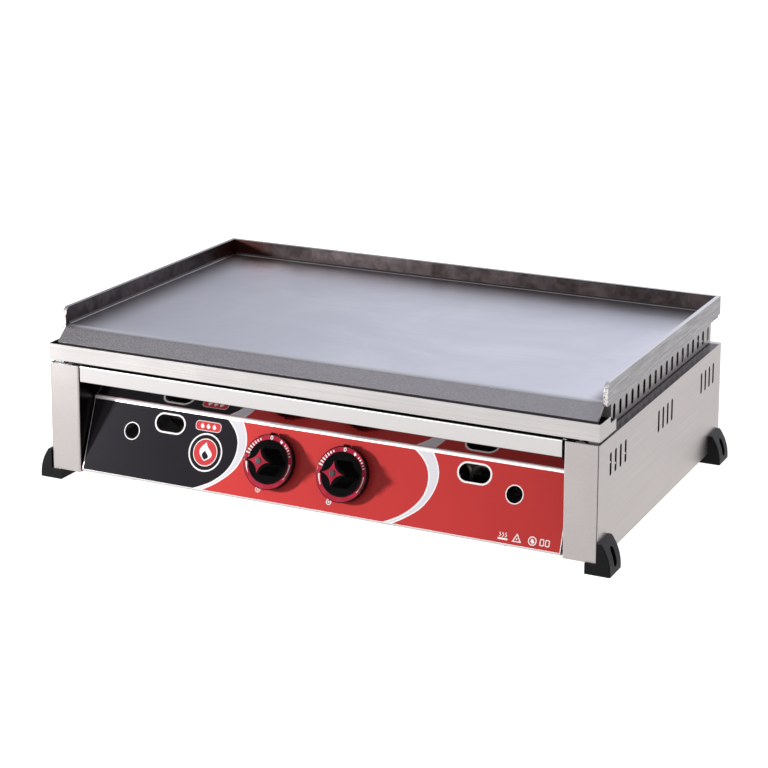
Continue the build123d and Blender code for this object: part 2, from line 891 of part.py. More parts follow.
def knob_body(side):
    """Black moulding: a round skirt, a low hub and a four-point grip."""
    ring_seat = knob_ring_front - ring_thickness
    hub_top = knob_ring_front + hub_step
    with BuildPart() as moulding:
        with BuildSketch(knob_plane(side, knob_back)):
            Circle(knob_radius)
        extrude(amount=knob_ring_front - knob_back)
        front_rim = moulding.edges().filter_by(GeomType.CIRCLE).sort_by(Axis.Y)[0]
        fillet(front_rim, rim_fillet)
        with BuildSketch(knob_plane(side, knob_back)):
            with Locations((0, knob_radius - 1)):
                RectangleRounded(*pointer_size, pointer_corner)
        extrude(amount=ring_seat - knob_back)
        with BuildSketch(knob_plane(side, ring_seat)):
            Circle(ring_outer + ring_gap)
            Circle(hub_radius - ring_gap, mode=Mode.SUBTRACT)
        extrude(amount=2 * ring_thickness, mode=Mode.SUBTRACT)
        with BuildSketch(knob_plane(side, knob_back + 1)):
            Circle(hub_radius - ring_gap)
        extrude(amount=hub_top - knob_back - 1)
        hub_rim = (
            moulding.edges()
            .filter_by(GeomType.CIRCLE)
            .filter_by(lambda e: abs(e.radius - hub_radius + ring_gap) < 0.01)
            .sort_by(Axis.Y)[0]
        )
        fillet(hub_rim, hub_fillet)
        with BuildSketch(knob_plane(side, hub_top - 1)):
            four_point_star(grip_tip, grip_waist)
            fillet(
                [v for v in vertices() if Vector(v.X, v.Y).length > grip_tip - 1],
                grip_nose,
            )
        extrude(amount=knob_height - hub_top + 1)
        with BuildSketch(knob_plane(side, knob_height - badge_thickness)):
            four_point_star(badge_tip + running_gap, badge_waist + running_gap)
        extrude(amount=2 * badge_thickness, mode=Mode.SUBTRACT)
        with BuildSketch(knob_plane(side, knob_back)):
            Circle(spindle_radius + running_gap)
            with Locations((0, spindle_flat + running_gap)):
                Rectangle(
                    3 * spindle_radius,
                    spindle_radius,
                    align=(Align.CENTER, Align.MIN),
                    mode=Mode.SUBTRACT,
                )
        extrude(amount=spindle_front - knob_back + 0.2, mode=Mode.SUBTRACT)
        with BuildSketch(knob_plane(side, knob_back)):
            Circle(spindle_radius + running_gap)
        extrude(amount=collar_depth, mode=Mode.SUBTRACT)
        with BuildSketch(knob_plane(side, knob_back)):
            Circle(knob_radius - skirt_wall)
            Circle(knob_boss_radius, mode=Mode.SUBTRACT)
        extrude(amount=skirt_cavity, mode=Mode.SUBTRACT)
    return moulding


def knob_ring(side):
    """Red marking ring let into the front of the skirt."""
    with BuildPart() as ring:
        with BuildSketch(knob_plane(side, knob_ring_front - ring_thickness)):
            Circle(ring_outer)
            Circle(hub_radius, mode=Mode.SUBTRACT)
        extrude(amount=ring_thickness)
    return ring


def knob_badge(side):
    """Red star let into the end of the grip, around a small round button."""
    with BuildPart() as star:
        with BuildSketch(knob_plane(side, knob_height - badge_thickness)):
            four_point_star(badge_tip, badge_waist)
            Circle(button_radius, mode=Mode.SUBTRACT)
        extrude(amount=badge_thickness)
    return star


def knob_button(side):
    """Round cap that covers the knob's fixing in the middle of the star."""
    with BuildPart() as cap:
        with BuildSketch(knob_plane(side, knob_height - badge_thickness)):
            Circle(button_radius)
        extrude(amount=badge_thickness + button_height)
        fillet(cap.edges().filter_by(GeomType.CIRCLE).sort_by(Axis.Y)[0], button_fillet)
    return cap


# ---------------------------------------------------------------- gas line
pipe_bore = 6.5
pipe_bend = 25.0
manifold_left = knob_x["left"] - 22.0
fitting_start = 203.0
boss_radius = 7.0
end_cap = 2.0
locknut_height = 5.0

with BuildPart() as gas_manifold:
    pipe_points = [
        (manifold_left, manifold_y, manifold_z),
        (inlet_x, manifold_y, manifold_z),
        (inlet_x, fitting_start, manifold_z),
    ]
    pipe_start = Plane(origin=pipe_points[0], x_dir=(0, 1, 0), z_dir=(1, 0, 0))
    with BuildLine() as outside_path:
        FilletPolyline(*pipe_points, radius=pipe_bend)
    with BuildSketch(pipe_start):
        Circle(pipe_radius)
    sweep(path=outside_path.line)
    for gas_side in knob_x:
        boss_plane = Plane(
            origin=face_plane.from_local_coords(
                Vector(knob_x[gas_side], manifold_slope, manifold_depth)
            ),
            x_dir=(1, 0, 0),
            z_dir=face_plane.y_dir,
        )
        with BuildSketch(boss_plane):
            Circle(boss_radius)
        extrude(amount=pipe_radius)
    with BuildLine() as inside_path:
        FilletPolyline(*pipe_points, radius=pipe_bend)
    with BuildSketch(pipe_start):
        Circle(pipe_bore)
    sweep(path=inside_path.line, mode=Mode.SUBTRACT)
    with BuildSketch(pipe_start):
        Circle(pipe_radius)
    extrude(amount=end_cap)
save(gas_manifold, "gas_manifold")

inlet_hex = 14.5
inlet_hex_width = 6.0

with BuildPart() as inlet_fitting:
    with BuildSketch(Plane.XZ.offset(-fitting_start)):
        with Locations((inlet_x, manifold_z)):
            Circle(inlet_radius)
    extrude(amount=fitting_start - inlet_end)
    with BuildSketch(Plane.XZ.offset(-half_depth)):
        with Locations((inlet_x, manifold_z)):
            RegularPolygon(inlet_hex, 6)
    extrude(amount=-inlet_hex_width)
    with BuildSketch(Plane.XZ.offset(-fitting_start)):
        with Locations((inlet_x, manifold_z)):
            Circle(pipe_bore)
    extrude(amount=fitting_start - inlet_end, mode=Mode.SUBTRACT)
save(inlet_fitting, "inlet_fitting")

with BuildPart() as inlet_locknut:
    with BuildSketch(Plane.XZ.offset(-rear_y)):
        with Locations((inlet_x, manifold_z)):
            RegularPolygon(inlet_hex, 6)
            Circle(inlet_radius + thread_gap, mode=Mode.SUBTRACT)
    extrude(amount=locknut_height)
save(inlet_locknut, "inlet_locknut")

injector_block = 16.0
injector_front = -192.5
injector_depth = 8.0
nozzle_radius = 4.0
nozzle_length = 12.0
nozzle_bore = 0.8
feed_radius = 4.0
feed_bore = 3.0
feed_bend = 9.0
bracket_sheet = 1.5
bracket_half_width = 12.0
bracket_foot = 16.0
bracket_bend = 3.0


def injector(x):
    """Brass block and nozzle that blow gas into the mixing tube."""
    middle = injector_front + injector_depth
    with BuildPart() as nozzle:
        with BuildSketch(Plane.XZ.offset(-injector_front)):
            with Locations((x, burner_z)):
                Rectangle(injector_block, injector_block)
        extrude(amount=-injector_depth)
        with BuildSketch(Plane.XZ.offset(-middle)):
            with Locations((x, burner_z)):
                Circle(nozzle_radius)
        extrude(amount=-nozzle_length)
        with BuildSketch(Plane.XZ.offset(-middle)):
            with Locations((x, burner_z)):
                Circle(nozzle_bore)
        extrude(amount=-nozzle_length, mode=Mode.SUBTRACT)
    return nozzle


def feed_pipe(side):
    """Aluminium pipe from the side of the valve to the bottom of the injector block."""
    sign = -1 if side == "left" else 1
    valve = face_plane.from_local_coords(
        Vector(knob_x[side] + sign * valve_width / 2, knob_slope, manifold_depth)
    )
    foot_y = injector_front + injector_depth / 2
    points = [
        tuple(valve),
        (burner_x[side], foot_y, valve.Z),
        (burner_x[side], foot_y, burner_z - injector_block / 2),
    ]
    run = Vector(*points[1]) - Vector(*points[0])
    start = Plane(origin=points[0], z_dir=run)
    with BuildPart() as pipe:
        with BuildLine() as outside:
            FilletPolyline(*points, radius=feed_bend)
        with BuildSketch(start):
            Circle(feed_radius)
        sweep(path=outside.line)
        with BuildLine() as inside:
            FilletPolyline(*points, radius=feed_bend)
        with BuildSketch(start):
            Circle(feed_bore)
        sweep(path=inside.line, mode=Mode.SUBTRACT)
        with BuildSketch(Plane.YZ.offset(knob_x[side] + sign * valve_width / 2)):
            Rectangle(4 * body_depth, 4 * body_depth)
        extrude(amount=-sign * 4 * feed_radius, mode=Mode.SUBTRACT)
    return pipe


def injector_bracket(x):
    """Folded bracket that stands the injector on the base panel."""
    with BuildPart() as stand:
        with BuildSketch(Plane.YZ.offset(x - bracket_half_width)):
            folded(
                [
                    (injector_front + bracket_foot, base_z + sheet),
                    (injector_front - bracket_sheet, base_z + sheet),
                    (injector_front - bracket_sheet, burner_z + injector_block / 2),
                ],
                Side.RIGHT,
                bracket_sheet,
                bracket_bend,
            )
        extrude(amount=2 * bracket_half_width)
    return stand


probe_radius = 3.0
probe_length = 26.0
lead_radius = 1.2
union_radius = 5.0
union_length = 6.0
probe_offset = 34.0
probe_z = burner_z + burner_radius + 8.0
probe_rear = burner_front + 4.0
lead_bend = 4.0
lead_run_out = 6.0
lead_run_in = 14.0


def thermocouple(side):
    """Flame-safety probe above the burner header, with its lead from the back of the valve."""
    sign = -1 if side == "left" else 1
    x = burner_x[side] - sign * probe_offset
    valve = face_plane.from_local_coords(
        Vector(knob_x[side], knob_slope, valve_rear)
    )
    probe_front = probe_rear - probe_length
    with BuildPart() as probe:
        with BuildSketch(Plane(origin=tuple(valve), z_dir=outward * -1)):
            RegularPolygon(union_radius, 6)
        extrude(amount=union_length)
        with BuildSketch(Plane.XZ.offset(-probe_front)):
            with Locations((x, probe_z)):
                Circle(probe_radius)
        extrude(amount=-probe_length)
        with BuildLine() as lead:
            FilletPolyline(
                tuple(valve - outward * union_length / 2),
                tuple(valve - outward * (union_length + lead_run_out)),
                (x, probe_front - lead_run_in, probe_z),
                (x, probe_front + 2, probe_z),
                radius=lead_bend,
            )
        with BuildSketch(Plane(origin=lead.line @ 0, z_dir=outward * -1)):
            Circle(lead_radius)
        sweep(path=lead.line, transition=Transition.ROUND)
    return probe


for side in ("left", "right"):
    save(burner(burner_x[side]), f"burner_{side}")
    save(air_shutter(burner_x[side]), f"air_shutter_{side}")
    save(injector(burner_x[side]), f"injector_{side}")
    save(injector_bracket(burner_x[side]), f"injector_bracket_{side}")
    save(feed_pipe(side), f"feed_pipe_{side}")
    save(thermocouple(side), f"thermocouple_{side}")
    save(valve_body(side), f"valve_body_{side}")
    save(valve_gland(side), f"valve_gland_{side}")
    save(valve_plunger(side), f"valve_plunger_{side}")
    save(spindle(side), f"spindle_{side}")
    save(knob_body(side), f"knob_body_{side}")
    save(knob_ring(side), f"knob_ring_{side}")
    save(knob_badge(side), f"knob_badge_{side}")
    save(knob_button(side), f"knob_button_{side}")

# ---------------------------------------------------------------- burner rails
rail_y = {"front": -70.0, "rear": 130.0}
rail_half_length = 255.0
burner_rail_flange = 15.0
burner_rail_bend = 3.0
burner_underside = burner_z - burner_radius

for place, y in rail_y.items():
    with BuildPart() as burner_rail:
        with BuildSketch(Plane.YZ):
            folded(
                [
                    (y - burner_rail_flange, base_z + sheet),
                    (y, base_z + sheet),
                    (y, burner_underside - sheet),
                    (y + burner_rail_flange, burner_underside - sheet),
                ],
                Side.LEFT,
                sheet,
                burner_rail_bend,
            )
        extrude(amount=rail_half_length, both=True)
    save(burner_rail, f"burner_rail_{place}")
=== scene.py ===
"""Countertop gas griddle: materials, printed marks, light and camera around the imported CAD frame.

Everything is in metres in the frame's own axes: +X to the user's right, the user on the -Y side,
+Z up, the feet on z = 0.
"""

import json
from math import cos, hypot, pi, radians, sin

import bmesh
import bpy
from mathutils import Matrix, Vector
from mathutils.geometry import tessellate_polygon


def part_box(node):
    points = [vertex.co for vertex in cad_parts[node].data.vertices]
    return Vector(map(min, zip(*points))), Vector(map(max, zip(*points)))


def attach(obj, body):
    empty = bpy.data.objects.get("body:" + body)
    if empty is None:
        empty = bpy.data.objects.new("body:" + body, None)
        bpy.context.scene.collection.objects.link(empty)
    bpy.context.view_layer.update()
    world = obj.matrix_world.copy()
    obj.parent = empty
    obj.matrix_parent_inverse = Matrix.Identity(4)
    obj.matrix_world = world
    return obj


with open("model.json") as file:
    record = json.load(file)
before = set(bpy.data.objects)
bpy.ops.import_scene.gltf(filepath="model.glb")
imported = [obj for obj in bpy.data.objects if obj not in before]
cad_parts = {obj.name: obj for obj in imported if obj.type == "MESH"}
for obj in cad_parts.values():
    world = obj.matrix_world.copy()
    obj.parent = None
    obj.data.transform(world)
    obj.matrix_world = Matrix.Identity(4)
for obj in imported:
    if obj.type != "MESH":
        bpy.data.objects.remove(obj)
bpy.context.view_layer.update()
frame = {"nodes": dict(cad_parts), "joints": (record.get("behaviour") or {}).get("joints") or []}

MM = 0.001
nodes = frame["nodes"]
joints = {j["name"]: j for j in frame["joints"]}
scene = bpy.context.scene


# ---------------------------------------------------------------- material helper
class Shader:
    """A node material around one Principled shader, with short calls for the usual nodes."""

    def __init__(self, name, **inputs):
        self.material = bpy.data.materials.new(name)
        self.material.use_nodes = True
        self.tree = self.material.node_tree
        self.principled = self.tree.nodes["Principled BSDF"]
        for key, value in inputs.items():
            self.set(key.replace("_", " "), value)

    def node(self, kind, **settings):
        made = self.tree.nodes.new("ShaderNode" + kind)
        for key, value in settings.items():
            setattr(made, key, value)
        return made

    def link(self, value, socket):
        if isinstance(value, bpy.types.NodeSocket):
            self.tree.links.new(value, socket)
        else:
            socket.default_value = value

    def set(self, name, value):
        socket = self.principled.inputs[name]
        if isinstance(value, tuple) and len(value) == 3 and len(socket.default_value) == 4:
            value = (*value, 1.0)
        self.link(value, socket)

    def place(self):
        """Object coordinates in metres. On a CAD node they are the frame's own."""
        return self.node("TexCoord").outputs["Object"]

    def axis(self, letter, vector=None):
        split = self.node("SeparateXYZ")
        self.link(vector or self.place(), split.inputs[0])
        return split.outputs[letter]

    def facing(self, letter):
        """How far the surface looks along an axis of the frame, from -1 to 1."""
        split = self.node("SeparateXYZ")
        self.link(self.node("NewGeometry").outputs["True Normal"], split.inputs[0])
        return split.outputs[letter]

    def near(self, value, low, high, soft=0.0004):
        """1 between two values, 0 outside them."""
        rise = self.span(value, low - soft, low + soft, smooth=False)
        fall = self.span(value, high - soft, high + soft, 1.0, 0.0, smooth=False)
        return self.math("MULTIPLY", rise, fall)

    def shifted(self, offset):
        """Coordinates measured from another point of the frame."""
        moved = self.node("VectorMath", operation="SUBTRACT")
        self.link(self.place(), moved.inputs[0])
        moved.inputs[1].default_value = offset
        return moved.outputs[0]

    def stretch(self, scale):
        mapping = self.node("Mapping")
        self.link(self.place(), mapping.inputs["Vector"])
        mapping.inputs["Scale"].default_value = scale
        return mapping.outputs["Vector"]

    def noise(self, scale, detail=3.0, rough=0.55, vector=None, warp=0.0):
        made = self.node("TexNoise")
        self.link(vector or self.place(), made.inputs["Vector"])
        made.inputs["Scale"].default_value = scale
        made.inputs["Detail"].default_value = detail
        made.inputs["Roughness"].default_value = rough
        made.inputs["Distortion"].default_value = warp
        return made.outputs["Fac"]

    def math(self, operation, a, b=0.0, c=None):
        made = self.node("Math", operation=operation)
        self.link(a, made.inputs[0])
        self.link(b, made.inputs[1])
        if c is not None:
            self.link(c, made.inputs[2])
        return made.outputs[0]

    def product(self, first, *others):
        """Values multiplied together: as masks, the places that all of them cover."""
        for other in others:
            first = self.math("MULTIPLY", first, other)
        return first

    def most(self, first, *others):
        """The largest of some values: as masks, the places that any of them covers."""
        for other in others:
            first = self.math("MAXIMUM", first, other)
        return first

    def size(self, value):
        """A value without its sign."""
        return self.math("ABSOLUTE", value)

    def span(self, value, low, high, to_low=0.0, to_high=1.0, smooth=True):
        """Turns a value's range into another range, and holds it at the ends."""
        made = self.node("MapRange", clamp=True)
        made.interpolation_type = "SMOOTHSTEP" if smooth else "LINEAR"
        self.link(value, made.inputs["Value"])
        made.inputs["From Min"].default_value = low
        made.inputs["From Max"].default_value = high
        made.inputs["To Min"].default_value = to_low
        made.inputs["To Max"].default_value = to_high
        return made.outputs["Result"]

    def mix(self, a, b, share):
        made = self.node("Mix", data_type="RGBA")
        self.link(share, made.inputs["Factor"])
        for value, socket in ((a, made.inputs["A"]), (b, made.inputs["B"])):
            if isinstance(value, tuple) and len(value) == 3:
                value = (*value, 1.0)
            self.link(value, socket)
        return made.outputs["Result"]

    def bump(self, height, strength, distance, edge=0.0):
        """Fine relief. edge is the radius of the rounding that sharp edges appear to have."""
        made = self.node("Bump")
        self.link(height, made.inputs["Height"])
        made.inputs["Strength"].default_value = strength
        made.inputs["Distance"].default_value = distance
        if edge:
            rounding = self.node("Bevel", samples=4)
            rounding.inputs["Radius"].default_value = edge
            self.link(rounding.outputs["Normal"], made.inputs["Normal"])
        self.set("Normal", made.outputs["Normal"])


def wear(color, low=0.85, high=1.1):
    """A darker and a lighter shade of one colour."""
    return tuple(c * low for c in color), tuple(min(1.0, c * high) for c in color)


# ---------------------------------------------------------------- metals
body_low, body_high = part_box("side_panel_right")
film_low, film_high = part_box("control_overlay")
panel_low, panel_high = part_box("front_panel")
tray_low, tray_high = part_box("grease_tray")
plate_low, plate_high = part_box("griddle_plate")
fitting_low, fitting_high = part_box("inlet_fitting")
skirt_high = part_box("flue_skirt_right")[1]
body_top = body_high.z
post_width = 40 * MM


def brushed(name, color, grain, roughness=0.3, depth=0.35, smudge=0.05, shade=None):
    """Stainless sheet with fine brush lines. grain is the stretch of the lines along x, y and z.

    shade(shader) gives a colour and the share of it, for stains and for painted shade where little light
    falls.
    """
    s = Shader(name, Metallic=1.0)
    lines = s.noise(1.0, 4.0, 0.65, s.stretch(grain))
    cloud = s.noise(9.0, 3.0, 0.6)
    dark, light = wear(color, 0.93, 1.05)
    tone = s.math("ADD", s.product(lines, 0.7), s.product(cloud, 0.3))
    finish = s.mix(dark, light, s.span(tone, 0.35, 0.65))
    if shade:
        shaded, share = shade(s)
        finish = s.mix(finish, shaded, share)
    s.set("Base Color", finish)
    rough = s.math("MULTIPLY_ADD", lines, 0.10, roughness - 0.05)
    s.set("Roughness", s.math("MULTIPLY_ADD", s.span(cloud, 0.45, 0.7), smudge, rough))
    s.bump(lines, depth, 0.00002, edge=0.0005)
    return s.material


def nearest(s, value, pitch, count):
    """Signed distance to the nearest of a row of evenly spaced places, centred on zero."""
    turns = s.math("MULTIPLY_ADD", value, 1 / pitch, 0.5 if count % 2 else 0.0)
    return s.math("MULTIPLY_ADD", s.math("FRACT", turns), pitch, -pitch / 2)


def slot_rim(s, off, height_off, height, width, rim):
    """One on and just round an upright slot, zero elsewhere."""
    above = s.math("ADD", s.size(height_off), (width - height) / 2)
    above = s.most(above, 0.0)
    square = s.math("MULTIPLY_ADD", off, off, s.product(above, above))
    return s.span(s.math("SQRT", square), width / 2 + rim, width / 2 + rim - 0.3 * MM)


# the upright slots: vents in the side panels, in groups, and the row in the flue skirt
vent_height, vent_width, vent_rim = 25.4 * MM, 5.0 * MM, 0.7 * MM
vent_pitch, vents_in_group = 16.1 * MM, 4
vent_group_pitch, vent_groups = 162.8 * MM, 3
vent_middle_y, vent_middle_z = 1.8 * MM, 113.4 * MM
skirt_slot_height, skirt_slot_width, skirt_slot_rim = 16.6 * MM, 6.8 * MM, 0.9 * MM
skirt_slot_pitch, skirt_slots = 20.28 * MM, 17
skirt_slot_middle_y, skirt_slot_middle_z = 18.5 * MM, 159.0 * MM


def vent_mask(s, y, z):
    """The vents of a side panel and their rims."""
    group = nearest(s, s.math("ADD", y, -vent_middle_y), vent_group_pitch, vent_groups)
    off = nearest(s, group, vent_pitch, vents_in_group)
    height_off = s.math("ADD", z, -vent_middle_z)
    rim = slot_rim(s, off, height_off, vent_height, vent_width, vent_rim)
    half_group = vents_in_group / 2 * vent_pitch
    return s.product(rim, s.near(group, -half_group, half_group))


def side_shade(s):
    """Heat stain and painted shade on the ledge, painted shade in the vents and the recess, a painted dark
    reflection along the fold, and painted shade on faces that look forwards or backwards.
    """
    x = s.size(s.axis("X"))
    y = s.axis("Y")
    z = s.axis("Z")
    out = s.size(s.facing("X"))
    # the ledge under the tray and beside the skirt: heat stain and painted shade, dark and mottled
    ledge = s.product(
        s.span(s.facing("Z"), 0.6, 0.9),
        s.span(z, body_top - 1.6 * MM, body_top - 0.8 * MM),
        s.span(y, skirt_high.y + 2 * MM, skirt_high.y - 4 * MM),
    )
    # painted shade on the walls of the vents
    vent_walls = s.product(
        s.span(out, 0.6, 0.4),
        s.near(z, body_low.z + 60 * MM, body_top - 8 * MM),
        s.near(y, body_low.y + 10 * MM, body_high.y - 10 * MM),
    )
    # painted shade on the return of the post, inside the control recess
    post_edge = body_high.x - post_width
    cheek = s.product(
        s.span(x, post_edge + 3.5 * MM, post_edge + 2 * MM),
        s.span(y, body_low.y + 1.5 * MM, body_low.y + 3 * MM),
    )
    # a painted dark reflection along the fold at the front corner
    fold = s.product(
        s.near(out, 0.25, 0.75, 0.05),
        s.span(y, body_low.y + 3 * MM, body_low.y + 2 * MM),
        s.span(x, body_high.x - 4 * MM, body_high.x - 3 * MM),
    )
    # painted shade on the rims of the vents
    vents = s.product(vent_mask(s, y, z), s.span(out, 0.9, 0.99))
    # all the painted shade of the vents and the recess
    dark = s.most(vent_walls, cheek, vents)
    # painted shade: faces that look forwards or backwards, such as the posts, a little darker
    post = s.span(s.size(s.facing("Y")), 0.7, 0.9)

    grain = s.noise(420.0, 3.0, 0.7)
    color = s.mix((0.022, 0.018, 0.020), (0.115, 0.098, 0.102), s.span(grain, 0.38, 0.62))
    color = s.mix(color, (0.25, 0.235, 0.23), post)
    color = s.mix(color, (0.008, 0.008, 0.009), dark)
    color = s.mix(color, (0.05, 0.045, 0.045), fold)
    share = s.most(ledge, dark, s.product(fold, 0.85), s.product(post, 0.30))
    return color, s.product(share, 0.98)


def slot_shade(s):
    """Painted shade in the slots of the skirt: their walls and rims are painted black."""
    x = s.size(s.axis("X"))
    out = s.size(s.facing("X"))
    back = s.size(s.facing("Y"))
    outer_face = skirt_high.x
    walls = s.span(s.most(out, back), 0.985, 0.97)
    side_walls = s.product(
        s.span(x, outer_face - 1.1 * MM, outer_face - 0.9 * MM),
        s.span(out, 0.5, 0.4),
    )
    off = nearest(s, s.math("ADD", s.axis("Y"), -skirt_slot_middle_y), skirt_slot_pitch, skirt_slots)
    height_off = s.math("ADD", s.axis("Z"), -skirt_slot_middle_z)
    rim = slot_rim(s, off, height_off, skirt_slot_height, skirt_slot_width, skirt_slot_rim)
    rim = s.product(rim, s.span(x, outer_face - 0.9 * MM, outer_face - 0.6 * MM))
    zone = s.near(s.axis("Z"), body_top + 2 * MM, skirt_high.z - 2 * MM)
    share = s.product(s.most(walls, side_walls, rim), zone, 0.98)
    return (0.006, 0.006, 0.007), share


def tray_shade(s):
    """Painted shade inside the tray: dark, with a fine mottle."""
    inside = s.product(
        s.span(s.axis("Y"), tray_low.y + 0.9 * MM, tray_low.y + 1.4 * MM),
        s.span(s.size(s.axis("X")), tray_high.x - 3 * MM, tray_high.x - 10 * MM),
    )
    grain = s.noise(160.0, 4.0, 0.6)
    inside_shade = s.mix((0.020, 0.015, 0.013), (0.075, 0.060, 0.052), grain)
    return inside_shade, s.product(inside, 0.92)


def polished(name, color):
    """Mirror-polished stainless with faint wiping marks, with painted shade where it is hidden from light,
    a painted reflection under the overhang and a painted highlight round the film.
    """
    s = Shader(name, Metallic=1.0)
    haze = s.noise(14.0, 4.0, 0.6, warp=0.4)
    lines = s.noise(1.0, 3.0, 0.6, s.stretch((6.0, 700.0, 700.0)))
    up = s.facing("Z")
    z = s.axis("Z")
    dark, light = wear(color, 0.97, 1.02)
    finish = s.mix(dark, light, haze)
    # painted reflection of the black and red film on the underside of the overhang above the control face
    under = s.product(s.span(up, -0.3, -0.6), s.near(z, film_high.z + 2 * MM, panel_high.z - 19 * MM))
    along = s.span(s.axis("X"), panel_low.x, panel_high.x, smooth=False)
    finish = s.mix(finish, s.mix((0.12, 0.11, 0.12), (0.10, 0.070, 0.070), along), under)
    # a painted highlight on the margin of the control face round the film
    sloping = s.product(s.span(up, 0.1, 0.2), s.span(up, 0.6, 0.5))
    margin = s.most(sloping, s.near(z, film_high.z - 0.4 * MM, film_high.z + 4.2 * MM))
    finish = s.mix(finish, (0.95, 0.945, 0.945), margin)
    # painted shade on the flange that lies hidden under the tray
    lid = s.product(s.span(up, 0.7, 0.95), s.span(z, panel_high.z - 1.2 * MM, panel_high.z - 0.6 * MM))
    finish = s.mix(finish, (0.018, 0.018, 0.020), lid)
    s.set("Base Color", finish)
    rough = s.math("MULTIPLY_ADD", s.span(haze, 0.4, 0.75), 0.05, 0.045)
    s.set("Roughness", s.math("MULTIPLY_ADD", s.most(lid, margin), 0.4, rough))
    s.bump(lines, 0.05, 0.00001)
    return s.material


def cast_or_machined(name, color, roughness, scale, depth, metal=1.0):
    """Metal with an even fine grain, such as brass, zinc or a drawn pipe."""
    s = Shader(name, Metallic=metal)
    grain = s.noise(scale, 4.0, 0.6)
    cloud = s.noise(scale / 12, 2.0, 0.5)
    dark, light = wear(color, 0.8, 1.12)
    s.set("Base Color", s.mix(dark, light, s.span(cloud, 0.3, 0.7)))
    s.set("Roughness", s.math("MULTIPLY_ADD", grain, 0.18, roughness - 0.09))
    s.bump(grain, depth, 0.00005, edge=0.0004)
    return s.material


def threaded_brass():
    """Brass fitting whose round ends carry a pipe thread of 14 turns to the inch."""
    s = Shader("threaded_brass", Metallic=1.0)
    pitch = 1.814 * MM
    grain = s.noise(500.0, 4.0, 0.6)
    y = s.axis("Y")
    across = s.shifted((fitting_low + fitting_high) / 2)
    turn = s.math("ARCTAN2", s.axis("Z", across), s.axis("X", across))
    phase = s.math("MULTIPLY_ADD", y, 2 * pi / pitch, turn)
    ridge = s.math("MULTIPLY_ADD", s.math("SINE", phase), 0.5, 0.5)
    hexagon = s.near(y, body_high.y, body_high.y + 6 * MM)
    thread = s.product(ridge, s.math("SUBTRACT", 1.0, hexagon))
    s.set("Base Color", s.mix((0.34, 0.22, 0.08), (0.66, 0.46, 0.20), s.span(ridge, 0.1, 0.7)))
    s.set("Roughness", s.math("MULTIPLY_ADD", grain, 0.18, 0.2))
    s.bump(s.math("MULTIPLY_ADD", grain, 0.03, thread), 1.0, 0.0009)
    return s.material


def plate_steel():
    """Ground steel plate: faint grinding lines, stains, painted reflections and a painted highlight, and a
    darker, coarser front lip.
    """
    s = Shader("plate_steel", Metallic=1.0)
    grain = s.noise(900.0, 3.0, 0.7)
    coarse = s.noise(620.0, 3.0, 0.7)
    lines = s.noise(1.0, 3.0, 0.6, s.stretch((12.0, 260.0, 40.0)))
    cloud = s.noise(5.0, 4.0, 0.6, warp=0.6)
    spots = s.noise(38.0, 3.0, 0.5)
    x = s.axis("X")
    y = s.axis("Y")
    tilt = s.facing("Z")

    color = s.mix((0.65, 0.66, 0.74), (0.76, 0.77, 0.84), s.span(cloud, 0.3, 0.7))
    color = s.mix(color, (0.66, 0.67, 0.73), s.product(s.span(lines, 0.45, 0.7), 0.3))
    # painted reflection: darker towards the left and the rear
    dim_reflection = s.most(
        s.span(x, 50 * MM, plate_low.x, 0.0, 0.30),
        s.span(y, plate_high.y - 160 * MM, plate_high.y, 0.0, 0.42),
    )
    color = s.mix(color, (0.20, 0.195, 0.22), dim_reflection)
    # dark margins along the upstands: burnt stain and a painted reflection of the dark upstands
    rear = s.span(y, plate_high.y - 40 * MM, plate_high.y - 4 * MM)
    side = s.span(s.size(x), plate_high.x - 22 * MM, plate_high.x - 2 * MM)
    left = s.span(x, plate_low.x + 60 * MM, plate_low.x + 4 * MM)
    edge = s.most(rear, s.product(s.most(side, left), 0.75))
    edge = s.product(edge, s.span(cloud, 0.2, 0.6, 0.6, 1.0))
    burnt_and_reflected = s.mix((0.12, 0.108, 0.115), (0.23, 0.21, 0.22), spots)
    color = s.mix(color, burnt_and_reflected, edge)
    # brown heat tint in the left rear corner
    corner = s.product(
        s.span(x, plate_low.x + 190 * MM, plate_low.x + 10 * MM),
        s.span(y, plate_high.y - 85 * MM, plate_high.y - 5 * MM),
        s.span(spots, 0.40, 0.62, 0.25, 0.95),
    )
    color = s.mix(color, (0.20, 0.105, 0.068), s.product(corner, 0.8))
    # the lip: dull, grainy and darker, lighter towards the right, below a painted highlight on the bend
    lip = s.span(tilt, 0.93, 0.80)
    dull = s.mix((0.20, 0.188, 0.20), (0.37, 0.355, 0.38), s.span(coarse, 0.35, 0.65))
    lighter = s.span(x, plate_low.x, plate_high.x, 0.0, 0.5, smooth=False)
    dull = s.mix(dull, (0.50, 0.49, 0.53), lighter)
    color = s.mix(color, dull, s.product(lip, 0.92))
    bend = s.product(s.span(tilt, 0.9995, 0.985), s.span(tilt, 0.85, 0.95))
    color = s.mix(color, (0.80, 0.81, 0.86), s.product(bend, 0.6))

    s.set("Base Color", color)
    rough = s.math("MULTIPLY_ADD", lines, 0.12, 0.27)
    s.set("Roughness", s.math("MULTIPLY_ADD", s.most(edge, lip), 0.16, rough))
    height = s.math("ADD", s.product(grain, 0.5), s.product(lines, 0.5))
    height = s.math("ADD", height, s.product(coarse, lip, 1.5))
    s.bump(height, 0.35, 0.00006, edge=0.0006)
    return s.material


